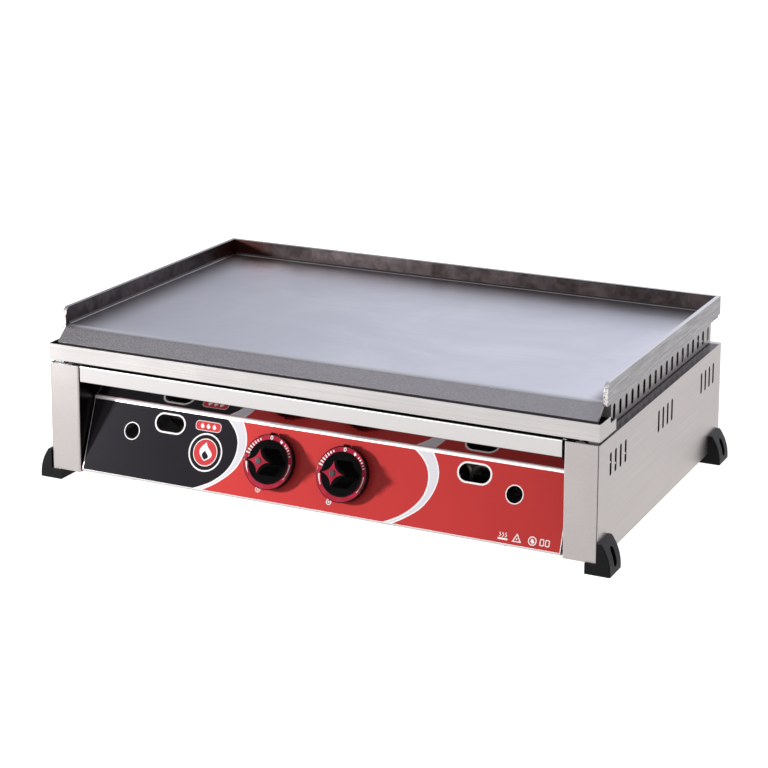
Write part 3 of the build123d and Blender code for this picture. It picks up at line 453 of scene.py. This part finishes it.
def upstand_steel():
    """Welded strips: bright ground outside, dark with heat tint on the side of the plate."""
    s = Shader("upstand_steel", Metallic=1.0)
    low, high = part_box("upstand_right")
    weld_x, weld_y, weld_z = plate_high
    grain = s.noise(700.0, 3.0, 0.7)
    cloud = s.noise(11.0, 4.0, 0.65, warp=0.8)
    fine = s.noise(70.0, 4.0, 0.6, warp=0.5)
    lines = s.noise(1.0, 3.0, 0.6, s.stretch((30.0, 30.0, 500.0)))
    x = s.axis("X")
    y = s.axis("Y")
    z = s.axis("Z")
    up = s.facing("Z")

    # the side of the plate: dark, brown in clouds, rust red in the left rear corner
    tone = s.math("MULTIPLY_ADD", fine, 0.4, s.product(cloud, 0.6))
    tint = s.mix((0.040, 0.030, 0.030), (0.125, 0.104, 0.106), s.span(tone, 0.35, 0.65))
    tint = s.mix(tint, (0.105, 0.060, 0.048), s.product(s.span(cloud, 0.5, 0.8), 0.6))
    corner = s.product(
        s.span(x, plate_low.x + 75 * MM, plate_low.x + 20 * MM),
        s.span(y, weld_y - 75 * MM, weld_y - 20 * MM),
    )
    tint = s.mix(tint, (0.085, 0.026, 0.020), s.product(corner, 0.85))
    # the outer faces: bright, with grinding lines
    outside = s.most(
        s.span(s.size(x), weld_x + 2.8 * MM, weld_x + 3.6 * MM),
        s.span(y, weld_y + 2.8 * MM, weld_y + 3.6 * MM),
    )
    bright = s.mix((0.34, 0.33, 0.335), (0.54, 0.53, 0.535), s.span(lines, 0.3, 0.7))
    color = s.mix(tint, bright, outside)
    # painted highlight on the top edge, brighter to the right
    top = s.product(s.span(up, 0.5, 0.8), s.span(z, high.z - 12 * MM, high.z - 10 * MM))
    edge = s.mix((0.42, 0.41, 0.42), (0.82, 0.82, 0.85), s.span(x, 0.0, weld_x))
    color = s.mix(color, edge, s.product(top, 0.9))
    # the weld: a thin light line at its foot
    bead = s.product(s.near(up, 0.4, 0.9, 0.05), s.span(z, weld_z + 4 * MM, weld_z + 3 * MM))
    foot = s.span(z, weld_z + 0.4 * MM, weld_z + 0.8 * MM)
    color = s.mix(color, s.mix((0.34, 0.33, 0.35), (0.055, 0.048, 0.050), foot), bead)
    # the rough-cut front ends: rust brown with a painted bright sparkle
    front_end = s.product(s.span(s.facing("Y"), -0.3, -0.8), s.span(y, low.y + 8 * MM, low.y + 6 * MM))
    rust_and_sparkle = s.mix((0.28, 0.20, 0.17), (0.86, 0.85, 0.86), s.span(grain, 0.38, 0.55))
    color = s.mix(color, rust_and_sparkle, front_end)

    s.set("Base Color", color)
    s.set("Roughness", s.math("MULTIPLY_ADD", grain, 0.15, 0.30))
    s.bump(s.math("ADD", grain, lines), 0.3, 0.00005, edge=0.0006)
    return s.material


def burner_steel():
    """Tube with a blue-brown heat tint that fades away from the flame ports."""
    s = Shader("burner_steel", Metallic=1.0)
    low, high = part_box("burner_left")
    grain = s.noise(400.0, 3.0, 0.6)
    cloud = s.noise(14.0, 3.0, 0.6, warp=0.5)
    heat = s.product(s.span(s.axis("Z"), (low.z + high.z) / 2, high.z), cloud)
    tint = s.mix((0.30, 0.19, 0.11), (0.16, 0.17, 0.27), s.span(cloud, 0.4, 0.7))
    s.set("Base Color", s.mix((0.52, 0.50, 0.48), tint, s.span(heat, 0.1, 0.5)))
    s.set("Roughness", s.math("MULTIPLY_ADD", grain, 0.2, 0.22))
    s.bump(grain, 0.2, 0.00004)
    return s.material


# ---------------------------------------------------------------- plastics and print
def moulded(name, color, roughness, scale, depth, shine=0.5):
    """Moulded plastic with a fine texture and slightly uneven gloss."""
    s = Shader(name)
    grain = s.noise(scale, 3.0, 0.6)
    cloud = s.noise(scale / 30, 3.0, 0.6)
    dark, light = wear(color, 0.8, 1.25)
    s.set("Base Color", s.mix(dark, light, s.span(cloud, 0.3, 0.7)))
    s.set("Roughness", s.math("MULTIPLY_ADD", cloud, 0.14, roughness - 0.07))
    s.set("Specular IOR Level", shine)
    s.bump(grain, depth, 0.00004, edge=0.0004)
    return s.material


def printed(name, dark, light, roughness=0.22):
    """Glossy print on the control film, with the soft mottle of ink over metal."""
    s = Shader(name)
    cloud = s.noise(6.0, 3.0, 0.5)
    dots = s.noise(1500.0, 2.0, 0.5)
    tone = s.math("ADD", s.product(cloud, 0.8), s.product(dots, 0.2))
    s.set("Base Color", s.mix(dark, light, s.span(tone, 0.3, 0.7)))
    s.set("Specular IOR Level", 0.2)
    s.set("Roughness", s.math("MULTIPLY_ADD", dots, 0.05, roughness))
    s.bump(dots, 0.06, 0.00001)
    return s.material


def red_film():
    """Red print of the film, with painted shade that makes it a little darker towards its right end."""
    s = Shader("red_film")
    cloud = s.noise(5.0, 3.0, 0.5)
    dots = s.noise(1500.0, 2.0, 0.5)
    # painted shade: darker towards the right end
    along = s.span(s.axis("X"), film_low.x * 0.35, film_high.x, smooth=False)
    color = s.mix((0.60, 0.048, 0.046), (0.47, 0.038, 0.036), along)
    color = s.mix(color, (0.36, 0.020, 0.020), s.product(s.span(cloud, 0.35, 0.75), 0.2))
    s.set("Base Color", color)
    s.set("Specular IOR Level", 0.2)
    s.set("Roughness", s.math("MULTIPLY_ADD", dots, 0.05, 0.16))
    s.bump(dots, 0.06, 0.00001)
    return s.material


# the stretch that turns even noise into brush lines along one axis
along_x = (5.0, 600.0, 600.0)
along_y = (600.0, 5.0, 600.0)

body_side = brushed("body_side", (0.66, 0.615, 0.60), along_y, 0.32, shade=side_shade)
body_rear = brushed("body_rear", (0.62, 0.59, 0.58), along_x, 0.34)
skirt_steel = brushed("skirt_steel", (0.50, 0.475, 0.475), along_y, 0.30, shade=slot_shade)
# painted light: a lighter, rougher copy of the skirt steel for the front skirt, which lies in shade
skirt_painted_light = brushed("skirt_painted_light", (0.70, 0.68, 0.67), along_x, 0.55)
tray_steel = brushed("tray_steel", (0.66, 0.635, 0.625), along_x, 0.22, shade=tray_shade)
mirror = polished("mirror", (0.76, 0.735, 0.73))
galvanised = cast_or_machined("galvanised", (0.38, 0.385, 0.39), 0.45, 60.0, 0.2)
brass = cast_or_machined("brass", (0.62, 0.43, 0.18), 0.28, 500.0, 0.2)
thread_brass = threaded_brass()
zinc = cast_or_machined("zinc", (0.55, 0.56, 0.58), 0.3, 600.0, 0.2)
black_zinc = cast_or_machined("black_zinc", (0.07, 0.07, 0.075), 0.35, 600.0, 0.2)
grey_pipe = cast_or_machined("grey_pipe", (0.20, 0.20, 0.205), 0.45, 400.0, 0.2, metal=0.4)
aluminium = cast_or_machined("aluminium", (0.68, 0.68, 0.69), 0.3, 500.0, 0.2)
copper = cast_or_machined("copper", (0.60, 0.30, 0.18), 0.35, 500.0, 0.2)
spindle_steel = cast_or_machined("spindle_steel", (0.5, 0.5, 0.5), 0.25, 700.0, 0.2)
plate = plate_steel()
upstand = upstand_steel()
burner = burner_steel()
foot_black = moulded("foot_black", (0.0045, 0.0045, 0.0055), 0.40, 1200.0, 0.25, shine=0.16)
knob_black = moulded("knob_black", (0.0015, 0.0015, 0.002), 0.10, 1600.0, 0.05, shine=0.12)
knob_red = moulded("knob_red", (0.36, 0.012, 0.034), 0.22, 1600.0, 0.05, shine=0.25)
knob_grey = moulded("knob_grey", (0.030, 0.030, 0.034), 0.30, 1600.0, 0.05)
film_red = red_film()
print_black = printed("print_black", (0.010, 0.008, 0.012), (0.014, 0.012, 0.017), 0.14)
print_grey = printed("print_grey", (0.62, 0.61, 0.65), (0.70, 0.69, 0.73))
print_white = printed("print_white", (0.80, 0.79, 0.79), (0.88, 0.87, 0.87))
print_red = printed("print_red", (0.52, 0.030, 0.035), (0.60, 0.045, 0.045))

finishes = {
    body_side: ["side_panel_left", "side_panel_right"],
    body_rear: ["rear_panel"],
    skirt_steel: ["flue_skirt_left", "flue_skirt_right", "flue_skirt_rear"],
    skirt_painted_light: ["flue_skirt_front"],
    tray_steel: ["grease_tray"],
    mirror: ["front_panel"],
    film_red: ["control_overlay"],
    plate: ["griddle_plate"],
    upstand: ["upstand_left", "upstand_right", "upstand_rear"],
    burner: ["burner_left", "burner_right", "air_shutter_left", "air_shutter_right"],
    galvanised: [
        "base_panel", "cross_member", "heat_shield", "burner_rail_front", "burner_rail_rear",
        "injector_bracket_left", "injector_bracket_right", "tray_runners",
    ],
    brass: [
        "injector_left", "injector_right", "valve_body_left", "valve_body_right",
        "valve_gland_left", "valve_gland_right", "valve_plunger_left", "valve_plunger_right",
        "inlet_locknut",
    ],
    thread_brass: ["inlet_fitting"],
    zinc: ["plate_studs", "plate_nuts", "casing_screws"],
    black_zinc: ["foot_screws"],
    grey_pipe: ["gas_manifold"],
    aluminium: ["feed_pipe_left", "feed_pipe_right"],
    copper: ["thermocouple_left", "thermocouple_right"],
    spindle_steel: ["spindle_left", "spindle_right"],
    foot_black: ["foot_front_left", "foot_front_right", "foot_rear_left", "foot_rear_right"],
    knob_black: ["knob_body_left", "knob_body_right"],
    knob_red: ["knob_ring_left", "knob_ring_right", "knob_badge_left", "knob_badge_right"],
    knob_grey: ["knob_button_left", "knob_button_right"],
}
for material, names in finishes.items():
    for name in names:
        nodes[name].data.materials.clear()
        nodes[name].data.materials.append(material)


# ---------------------------------------------------------------- planes for the printed marks
class Face:
    """A flat face given by its origin and its across, up and outward directions."""

    def __init__(self, origin, across, up, out):
        self.origin, self.across, self.up, self.out = origin, across, up, out

    def point(self, x, y, height=0.0):
        return self.origin + self.across * x + self.up * y + self.out * height


across = Vector((1, 0, 0))
outward = Vector(joints["knob_left_turn"]["axis"]).normalized()
upward = outward.cross(across)
knob_spot = {s: Vector(joints[f"knob_{s}_turn"]["pos_m"]) for s in ("left", "right")}

# film coordinates start at the film's lower edge, in the middle of the body
film_thickness = 0.4 * MM
film_start = (film_low.z - knob_spot["left"].z) / upward.z
film_origin = Vector((0, 0, 0)) + knob_spot["left"] + upward * film_start
film_origin.x = 0.0
film = Face(film_origin, across, upward, outward)
ink = 0.05 * MM


def circle(cx, cy, r, start=0.0, end=360.0, steps=48, squash=1.0):
    """Points on a circle from one angle to another, in degrees."""
    whole = abs(end - start) >= 360.0
    count = steps if whole else steps + 1
    return [
        (
            cx + r * cos(radians(start + (end - start) * k / steps)),
            cy + squash * r * sin(radians(start + (end - start) * k / steps)),
        )
        for k in range(count)
    ]


def stadium(cx, cy, length, width, steps=16):
    """A slot outline with round ends, lying along x."""
    r = width / 2
    reach = length / 2 - r
    right = circle(cx + reach, cy, r, -90, 90, steps)
    left = circle(cx - reach, cy, r, 90, 270, steps)
    return right + left


def rounded(cx, cy, length, width, r, steps=6):
    """A rectangle outline with round corners."""
    points = []
    for sx, sy, start in ((1, -1, -90), (1, 1, 0), (-1, 1, 90), (-1, -1, 180)):
        x = cx + sx * (length / 2 - r)
        y = cy + sy * (width / 2 - r)
        points += circle(x, y, r, start, start + 90, steps)
    return points


def mark(name, face, loops, base, thickness, material, body):
    """A thin closed print: an outline in millimetres, with any holes, thickened outwards.

    It rides on a body of the frame.
    """
    flat = [[Vector((x * MM, y * MM, 0)) for x, y in loop] for loop in loops]
    triangles = tessellate_polygon(flat)
    points = [p for loop in flat for p in loop]
    mesh = bmesh.new()
    low = [mesh.verts.new(face.point(p.x, p.y, base)) for p in points]
    high = [mesh.verts.new(face.point(p.x, p.y, base + thickness)) for p in points]
    for a, b, c in triangles:
        mesh.faces.new((high[a], high[b], high[c]))
        mesh.faces.new((low[c], low[b], low[a]))
    start = 0
    for loop in flat:
        n = len(loop)
        for k in range(n):
            a, b = start + k, start + (k + 1) % n
            mesh.faces.new((low[a], low[b], high[b], high[a]))
        start += n
    bmesh.ops.recalc_face_normals(mesh, faces=mesh.faces)
    data = bpy.data.meshes.new(name)
    mesh.to_mesh(data)
    mesh.free()
    data.materials.append(material)
    made = bpy.data.objects.new(name, data)
    scene.collection.objects.link(made)
    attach(made, body)


def film_mark(name, loops, layer, material):
    """A print on the control film, in one of the layers of ink."""
    base = film_thickness + layer * ink
    mark(name, film, loops, base, ink, material, "chassis")


# ---------------------------------------------------------------- control film: the large pattern
left_mm = film_low.x / MM
light_hole = {"left": (-248.2, 53.8), "right": (245.8, 53.8)}
light_hole_r = 9.5
light_hole_line = 1.2
view_slot = {"left": (-198.0, 69.5), "right": (195.6, 69.5)}
view_slot_length, view_slot_width = 38.0, 19.7
view_slot_line = 2.1
# the edges of the two crescents, from the film's lower edge to its upper edge
swoosh_left = (
    ((-153.6, 0), (-143.6, 4.3), (-132.1, 10), (-120.7, 18.6), (-112.9, 27.1), (-107.9, 35.7),
     (-104.9, 45), (-104.0, 53.5), (-104.9, 62), (-108.6, 70.5), (-115.0, 78.6), (-122.1, 85.2)),
    ((-140.7, 0), (-127.9, 7.1), (-117.9, 14.3), (-108.6, 22.1), (-100.7, 31.4), (-95.7, 41.4),
     (-92.9, 51.4), (-92.1, 60), (-93.3, 68.6), (-96.4, 77.1), (-101.0, 85.2)),
)
swoosh_right = (
    ((94.0, 0), (104.0, 4.6), (114.7, 10.6), (124.7, 18.6), (132.6, 27.1), (138.1, 36),
     (141.0, 45.7), (141.4, 54.3), (139.7, 62.9), (135.6, 71.0), (129.0, 78.3), (120.0, 85.2)),
    ((106.0, 0), (115.5, 5.2), (126.1, 12.1), (136.1, 20), (143.3, 28.6), (149.0, 38.6),
     (152.5, 48.6), (153.7, 57.1), (153.0, 65.7), (149.7, 74.8), (143.4, 85.2)),
)
edge_line = 1.7


def smooth_line(points, steps=6):
    """A curve through all the points (Catmull-Rom)."""
    last = len(points) - 1
    line = []
    for k in range(last):
        a, b, c, d = (points[max(0, min(last, k + n))] for n in (-1, 0, 1, 2))
        for step in range(steps):
            t = step / steps
            weights = (
                0.5 * (-t + 2 * t * t - t ** 3),
                0.5 * (2 - 5 * t * t + 3 * t ** 3),
                0.5 * (t + 4 * t * t - 3 * t ** 3),
                0.5 * (t ** 3 - t * t),
            )
            line.append(tuple(sum(w * p[n] for w, p in zip(weights, (a, b, c, d))) for n in (0, 1)))
    return line + [points[-1]]


def moved_line(line, inset):
    """The curve moved sideways by a constant distance, still ending on the same heights."""
    moved = []
    for k, (x, y) in enumerate(line):
        (ax, ay), (bx, by) = line[max(k - 1, 0)], line[min(k + 1, len(line) - 1)]
        moved.append((x + inset * hypot(bx - ax, by - ay) / abs(by - ay), y))
    return moved


def band(inner, outer, inset):
    """Outline between two curves, drawn in by the same amount on both sides."""
    return moved_line(smooth_line(outer), -inset) + moved_line(smooth_line(inner), inset)[::-1]


def light_hole_edge(side, extra):
    return circle(*light_hole[side], light_hole_r + extra)


def view_slot_edge(side, extra):
    return stadium(*view_slot[side], view_slot_length + 2 * extra, view_slot_width + 2 * extra)


film_gap = 0.05
black_edge = smooth_line(swoosh_left[0])
black_outline = [(left_mm, 0.0)] + black_edge + [(left_mm, black_edge[-1][1])]
film_mark(
    "print_black_field",
    [
        black_outline,
        light_hole_edge("left", light_hole_line)[::-1],
        view_slot_edge("left", view_slot_line)[::-1],
    ],
    0,
    print_black,
)
for side, (inner, outer) in (("left", swoosh_left), ("right", swoosh_right)):
    film_mark(f"print_swoosh_edge_{side}", [band(inner, outer, 0.0)], 1, print_white)
    film_mark(f"print_swoosh_{side}", [band(inner, outer, edge_line)], 2, print_grey)
    film_mark(
        f"print_light_hole_ring_{side}",
        [light_hole_edge(side, light_hole_line), light_hole_edge(side, film_gap)[::-1]],
        1,
        print_white,
    )
    film_mark(
        f"print_view_slot_ring_{side}",
        [view_slot_edge(side, view_slot_line), view_slot_edge(side, film_gap)[::-1]],
        1,
        print_white,
    )


# ---------------------------------------------------------------- control film: label, badge, signs
def flame(cx, cy, size):
    """A plain flame outline: two S-curves that lean to one side and meet in a tip."""
    steps = 14

    def at(k, side):
        t = k / steps
        width = 0.42 * sin(pi * (1 - t) ** 1.25) * (1 - 0.25 * t)
        lean = 0.06 * sin(2 * pi * t)
        return (cx + size * (side * width + lean), cy + size * (t - 0.5))

    return [at(k, 1) for k in range(steps + 1)] + [at(k, -1) for k in range(steps - 1, 0, -1)]


label_x, label_y = -146.2, 73.4
film_mark("label_edge", [rounded(label_x, label_y, 34.6, 11.6, 4.6)], 1, print_grey)
film_mark("label_field", [rounded(label_x, label_y, 33, 10, 4.0)], 2, print_red)
for k in (-1, 0, 1):
    film_mark(f"label_flame_{k + 2}", [flame(label_x + 8 * k, label_y, 6.4)], 3, print_white)

badge_x, badge_y = -144.7, 43.0
film_mark("badge_rim", [circle(badge_x, badge_y, 22.5, steps=64)], 1, print_white)
film_mark("badge_ring", [circle(badge_x, badge_y, 20.6, steps=64)], 2, print_black)
film_mark("badge_line", [circle(badge_x, badge_y, 16.2, steps=64)], 3, print_white)
film_mark("badge_field", [circle(badge_x, badge_y, 15.2, steps=64)], 4, print_red)
film_mark("badge_flame", [flame(badge_x, badge_y + 1, 22)], 5, print_white)
film_mark("badge_flame_core", [flame(badge_x, badge_y - 3, 11)], 6, print_black)

sign_y = 7.7
heat_x, triangle_x, ring_x, squares_x = 239.6, 255.9, 274.2, 288.5
burner_sign_x, burner_sign_y = {"left": -68.2, "right": 24.1}, 11.4


def ring(cx, cy, r, line):
    return [circle(cx, cy, r, steps=32), circle(cx, cy, r - line, steps=32)[::-1]]


def triangle(cx, cy, r):
    return circle(cx, cy, r, 90, 450, 3)


def sign(name, loops):
    film_mark(name, loops, 1, print_white)


sign("sign_plate_base", [rounded(heat_x, sign_y - 3, 12, 2.0, 0.9)])
for k in (-1, 0, 1):
    wave = [
        (heat_x + 3.4 * k + 0.9 * sin(1.6 * t) + w, sign_y + t)
        for w, span in ((-0.5, range(-1, 5)), (0.5, range(4, -2, -1)))
        for t in span
    ]
    sign(f"sign_heat_{k + 2}", [wave])
sign("sign_triangle", [triangle(triangle_x, sign_y - 1, 6.4), triangle(triangle_x, sign_y - 1, 4.2)[::-1]])
sign("sign_triangle_dot", [circle(triangle_x, sign_y - 0.8, 0.9, steps=16)])
sign("sign_ring", ring(ring_x, sign_y, 5.0, 1.1))
sign("sign_ring_flame", [flame(ring_x, sign_y, 6.0)])
for k, dx in enumerate((-3.2, 3.2)):
    frame_outline = rounded(squares_x + dx, sign_y, 5.2, 7.5, 1.2)
    frame_hole = rounded(squares_x + dx, sign_y, 3.2, 5.5, 0.6)
    sign(f"sign_square_{k + 1}", [frame_outline, frame_hole[::-1]])
for side, x in burner_sign_x.items():
    sign(f"burner_sign_{side}", ring(x, burner_sign_y, 3.4, 1.0))
    sign(f"burner_sign_dot_{side}", [circle(x, burner_sign_y, 1.2, steps=16)])


# ---------------------------------------------------------------- dial marks on the knobs
ring_vertices = nodes["knob_ring_left"].data.vertices
ring_front = max((v.co - knob_spot["left"]).dot(outward) for v in ring_vertices)


def polar(r, angle):
    return (r * cos(radians(angle)), r * sin(radians(angle)))


def wedge(r_in, r_out, start, end, thin, steps=18):
    """An arc that tapers from its full width to a share of it."""
    middle = (r_in + r_out) / 2
    half = (r_out - r_in) / 2
    outer_side = []
    inner_side = []
    for k in range(steps + 1):
        t = k / steps
        angle = start + (end - start) * t
        reach = half * (1 - (1 - thin) * t)
        outer_side.append(polar(middle + reach, angle))
        inner_side.append(polar(middle - reach, angle))
    return outer_side + inner_side[::-1]


dial_r = 28.1

for side in ("left", "right"):
    dial = Face(knob_spot[side], across, upward, outward)

    def dial_mark(name, loops):
        mark(f"{name}_{side}", dial, loops, ring_front, ink, print_white, f"knob_{side}")

    zero_outer = circle(0.0, dial_r, 1.75, squash=1.35, steps=28)
    zero_inner = circle(0.0, dial_r, 0.85, squash=1.6, steps=28)
    dial_mark("dial_zero", [zero_outer, zero_inner[::-1]])
    for k in range(7):
        angle = 118 + 7.5 * k
        reach = 1.2 + 0.3 * k
        dial_mark(f"dial_tick_{k + 1}", [wedge(dial_r - reach, dial_r + reach, angle, angle + 3.2, 1.0)])
    dial_mark("dial_flame", [flame(*polar(dial_r, 62), 4.6)])
    for k in range(5):
        angle = 50 - 7.0 * k
        dial_mark(f"dial_dash_{k + 1}", [wedge(dial_r - 1.2, dial_r + 1.2, angle, angle - 2.8, 1.0)])
    dial_mark("dial_arc_low", [wedge(dial_r - 0.8, dial_r + 0.8, 2, -38, 0.25)])
    dial_mark("dial_arc_high", [wedge(dial_r - 1.0, dial_r + 1.0, 186, 212, 0.3)])


# ---------------------------------------------------------------- floor, light and camera
def sheet(name, size, z):
    data = bpy.data.meshes.new(name)
    half = size / 2
    data.from_pydata(
        [(-half, -half, z), (half, -half, z), (half, half, z), (-half, half, z)], [], [(0, 1, 2, 3)]
    )
    made = bpy.data.objects.new(name, data)
    scene.collection.objects.link(made)
    return made


# The floor glows, so that it stays white to the horizon and lights the object evenly from below.
# It glows more for the camera, and less for soft light on matt faces.
floor = sheet("floor", 60.0, 0.0)
paper = Shader("floor_white", Base_Color=(0.50, 0.50, 0.50), Roughness=0.9)
paper.set("Emission Color", (1.0, 0.99, 0.985))
floor_path = paper.node("LightPath").outputs
glow = paper.math("MULTIPLY_ADD", floor_path["Is Diffuse Ray"], -0.40, 0.56)
glow = paper.math("MULTIPLY_ADD", floor_path["Is Camera Ray"], 0.45, glow)
paper.set("Emission Strength", glow)
floor.data.materials.append(paper.material)

world = bpy.data.worlds.new("studio")
scene.world = world
world.use_nodes = True


class Sky(Shader):
    """The studio round the object: a soft grey front, dimmer on the left, and a bright backdrop."""

    def __init__(self, tree):
        self.tree = tree
        direction = self.node("TexCoord").outputs["Generated"]
        x = self.axis("X", direction)
        y = self.axis("Y", direction)
        z = self.axis("Z", direction)
        front, rear, above = (0.70, 0.665, 0.675), (0.98, 0.99, 1.08), (0.56, 0.56, 0.58)
        color = self.mix(front, rear, self.span(y, -0.25, 0.55))
        sideways = self.node("Mix", data_type="RGBA", blend_type="MULTIPLY")
        sideways.inputs["Factor"].default_value = 1.0
        self.link(color, sideways.inputs["A"])
        self.link(self.span(x, -0.75, 0.05, 0.46, 1.15), sideways.inputs["B"])
        color = self.mix(sideways.outputs["Result"], above, self.span(z, 0.55, 0.88))
        # matt faces get about half of it, so that the key light's shadows show; the camera sees white
        path = self.node("LightPath").outputs
        dimmer = self.mix(color, (0.0, 0.0, 0.0), 0.48)
        color = self.mix(color, dimmer, path["Is Diffuse Ray"])
        color = self.mix(color, (1.0, 1.0, 1.0), path["Is Camera Ray"])
        self.link(color, tree.nodes["Background"].inputs["Color"])
        tree.nodes["Background"].inputs["Strength"].default_value = 1.0


Sky(world.node_tree)


def soft_light(name, place, target, size, power):
    """A square area light that looks at a point."""
    data = bpy.data.lights.new(name, "AREA")
    data.shape = "RECTANGLE"
    data.size = data.size_y = size
    data.energy = power
    made = bpy.data.objects.new(name, data)
    made.location = place
    made.rotation_euler = (Vector(target) - Vector(place)).to_track_quat("-Z", "Y").to_euler()
    scene.collection.objects.link(made)


soft_light("key", (-2.35, -2.04, 0.74), (0, -0.1, 0.1), 0.30, 118.0)

# The photograph's camera. The photograph is a crop, so the lens is shifted.
camera_data = bpy.data.cameras.new("camera")
camera = bpy.data.objects.new("camera", camera_data)
scene.collection.objects.link(camera)
scene.camera = camera
camera_data.sensor_width = 36.0
camera_data.lens = 96.736
camera_data.clip_start = 0.05
camera_data.clip_end = 100.0
camera.location = (1.05695, -2.20321, 0.85917)
turn, tilt, roll = radians(24.9028), radians(90.0 - 10.1916), radians(0.4289)
aim = Matrix.Rotation(turn, 4, "Z") @ Matrix.Rotation(tilt, 4, "X") @ Matrix.Rotation(roll, 4, "Z")
camera.rotation_euler = aim.to_euler()
for name, amount in (("shift_x", -0.04667), ("shift_y", -0.32916)):
    curve = camera_data.driver_add(name)
    curve.driver.type = "SUM"
    mode = curve.driver.variables.new()
    mode.targets[0].id = camera
    mode.targets[0].data_path = "rotation_mode"
    curve.modifiers[0].coefficients = (0.0, amount)

scene.view_settings.view_transform = "Standard"
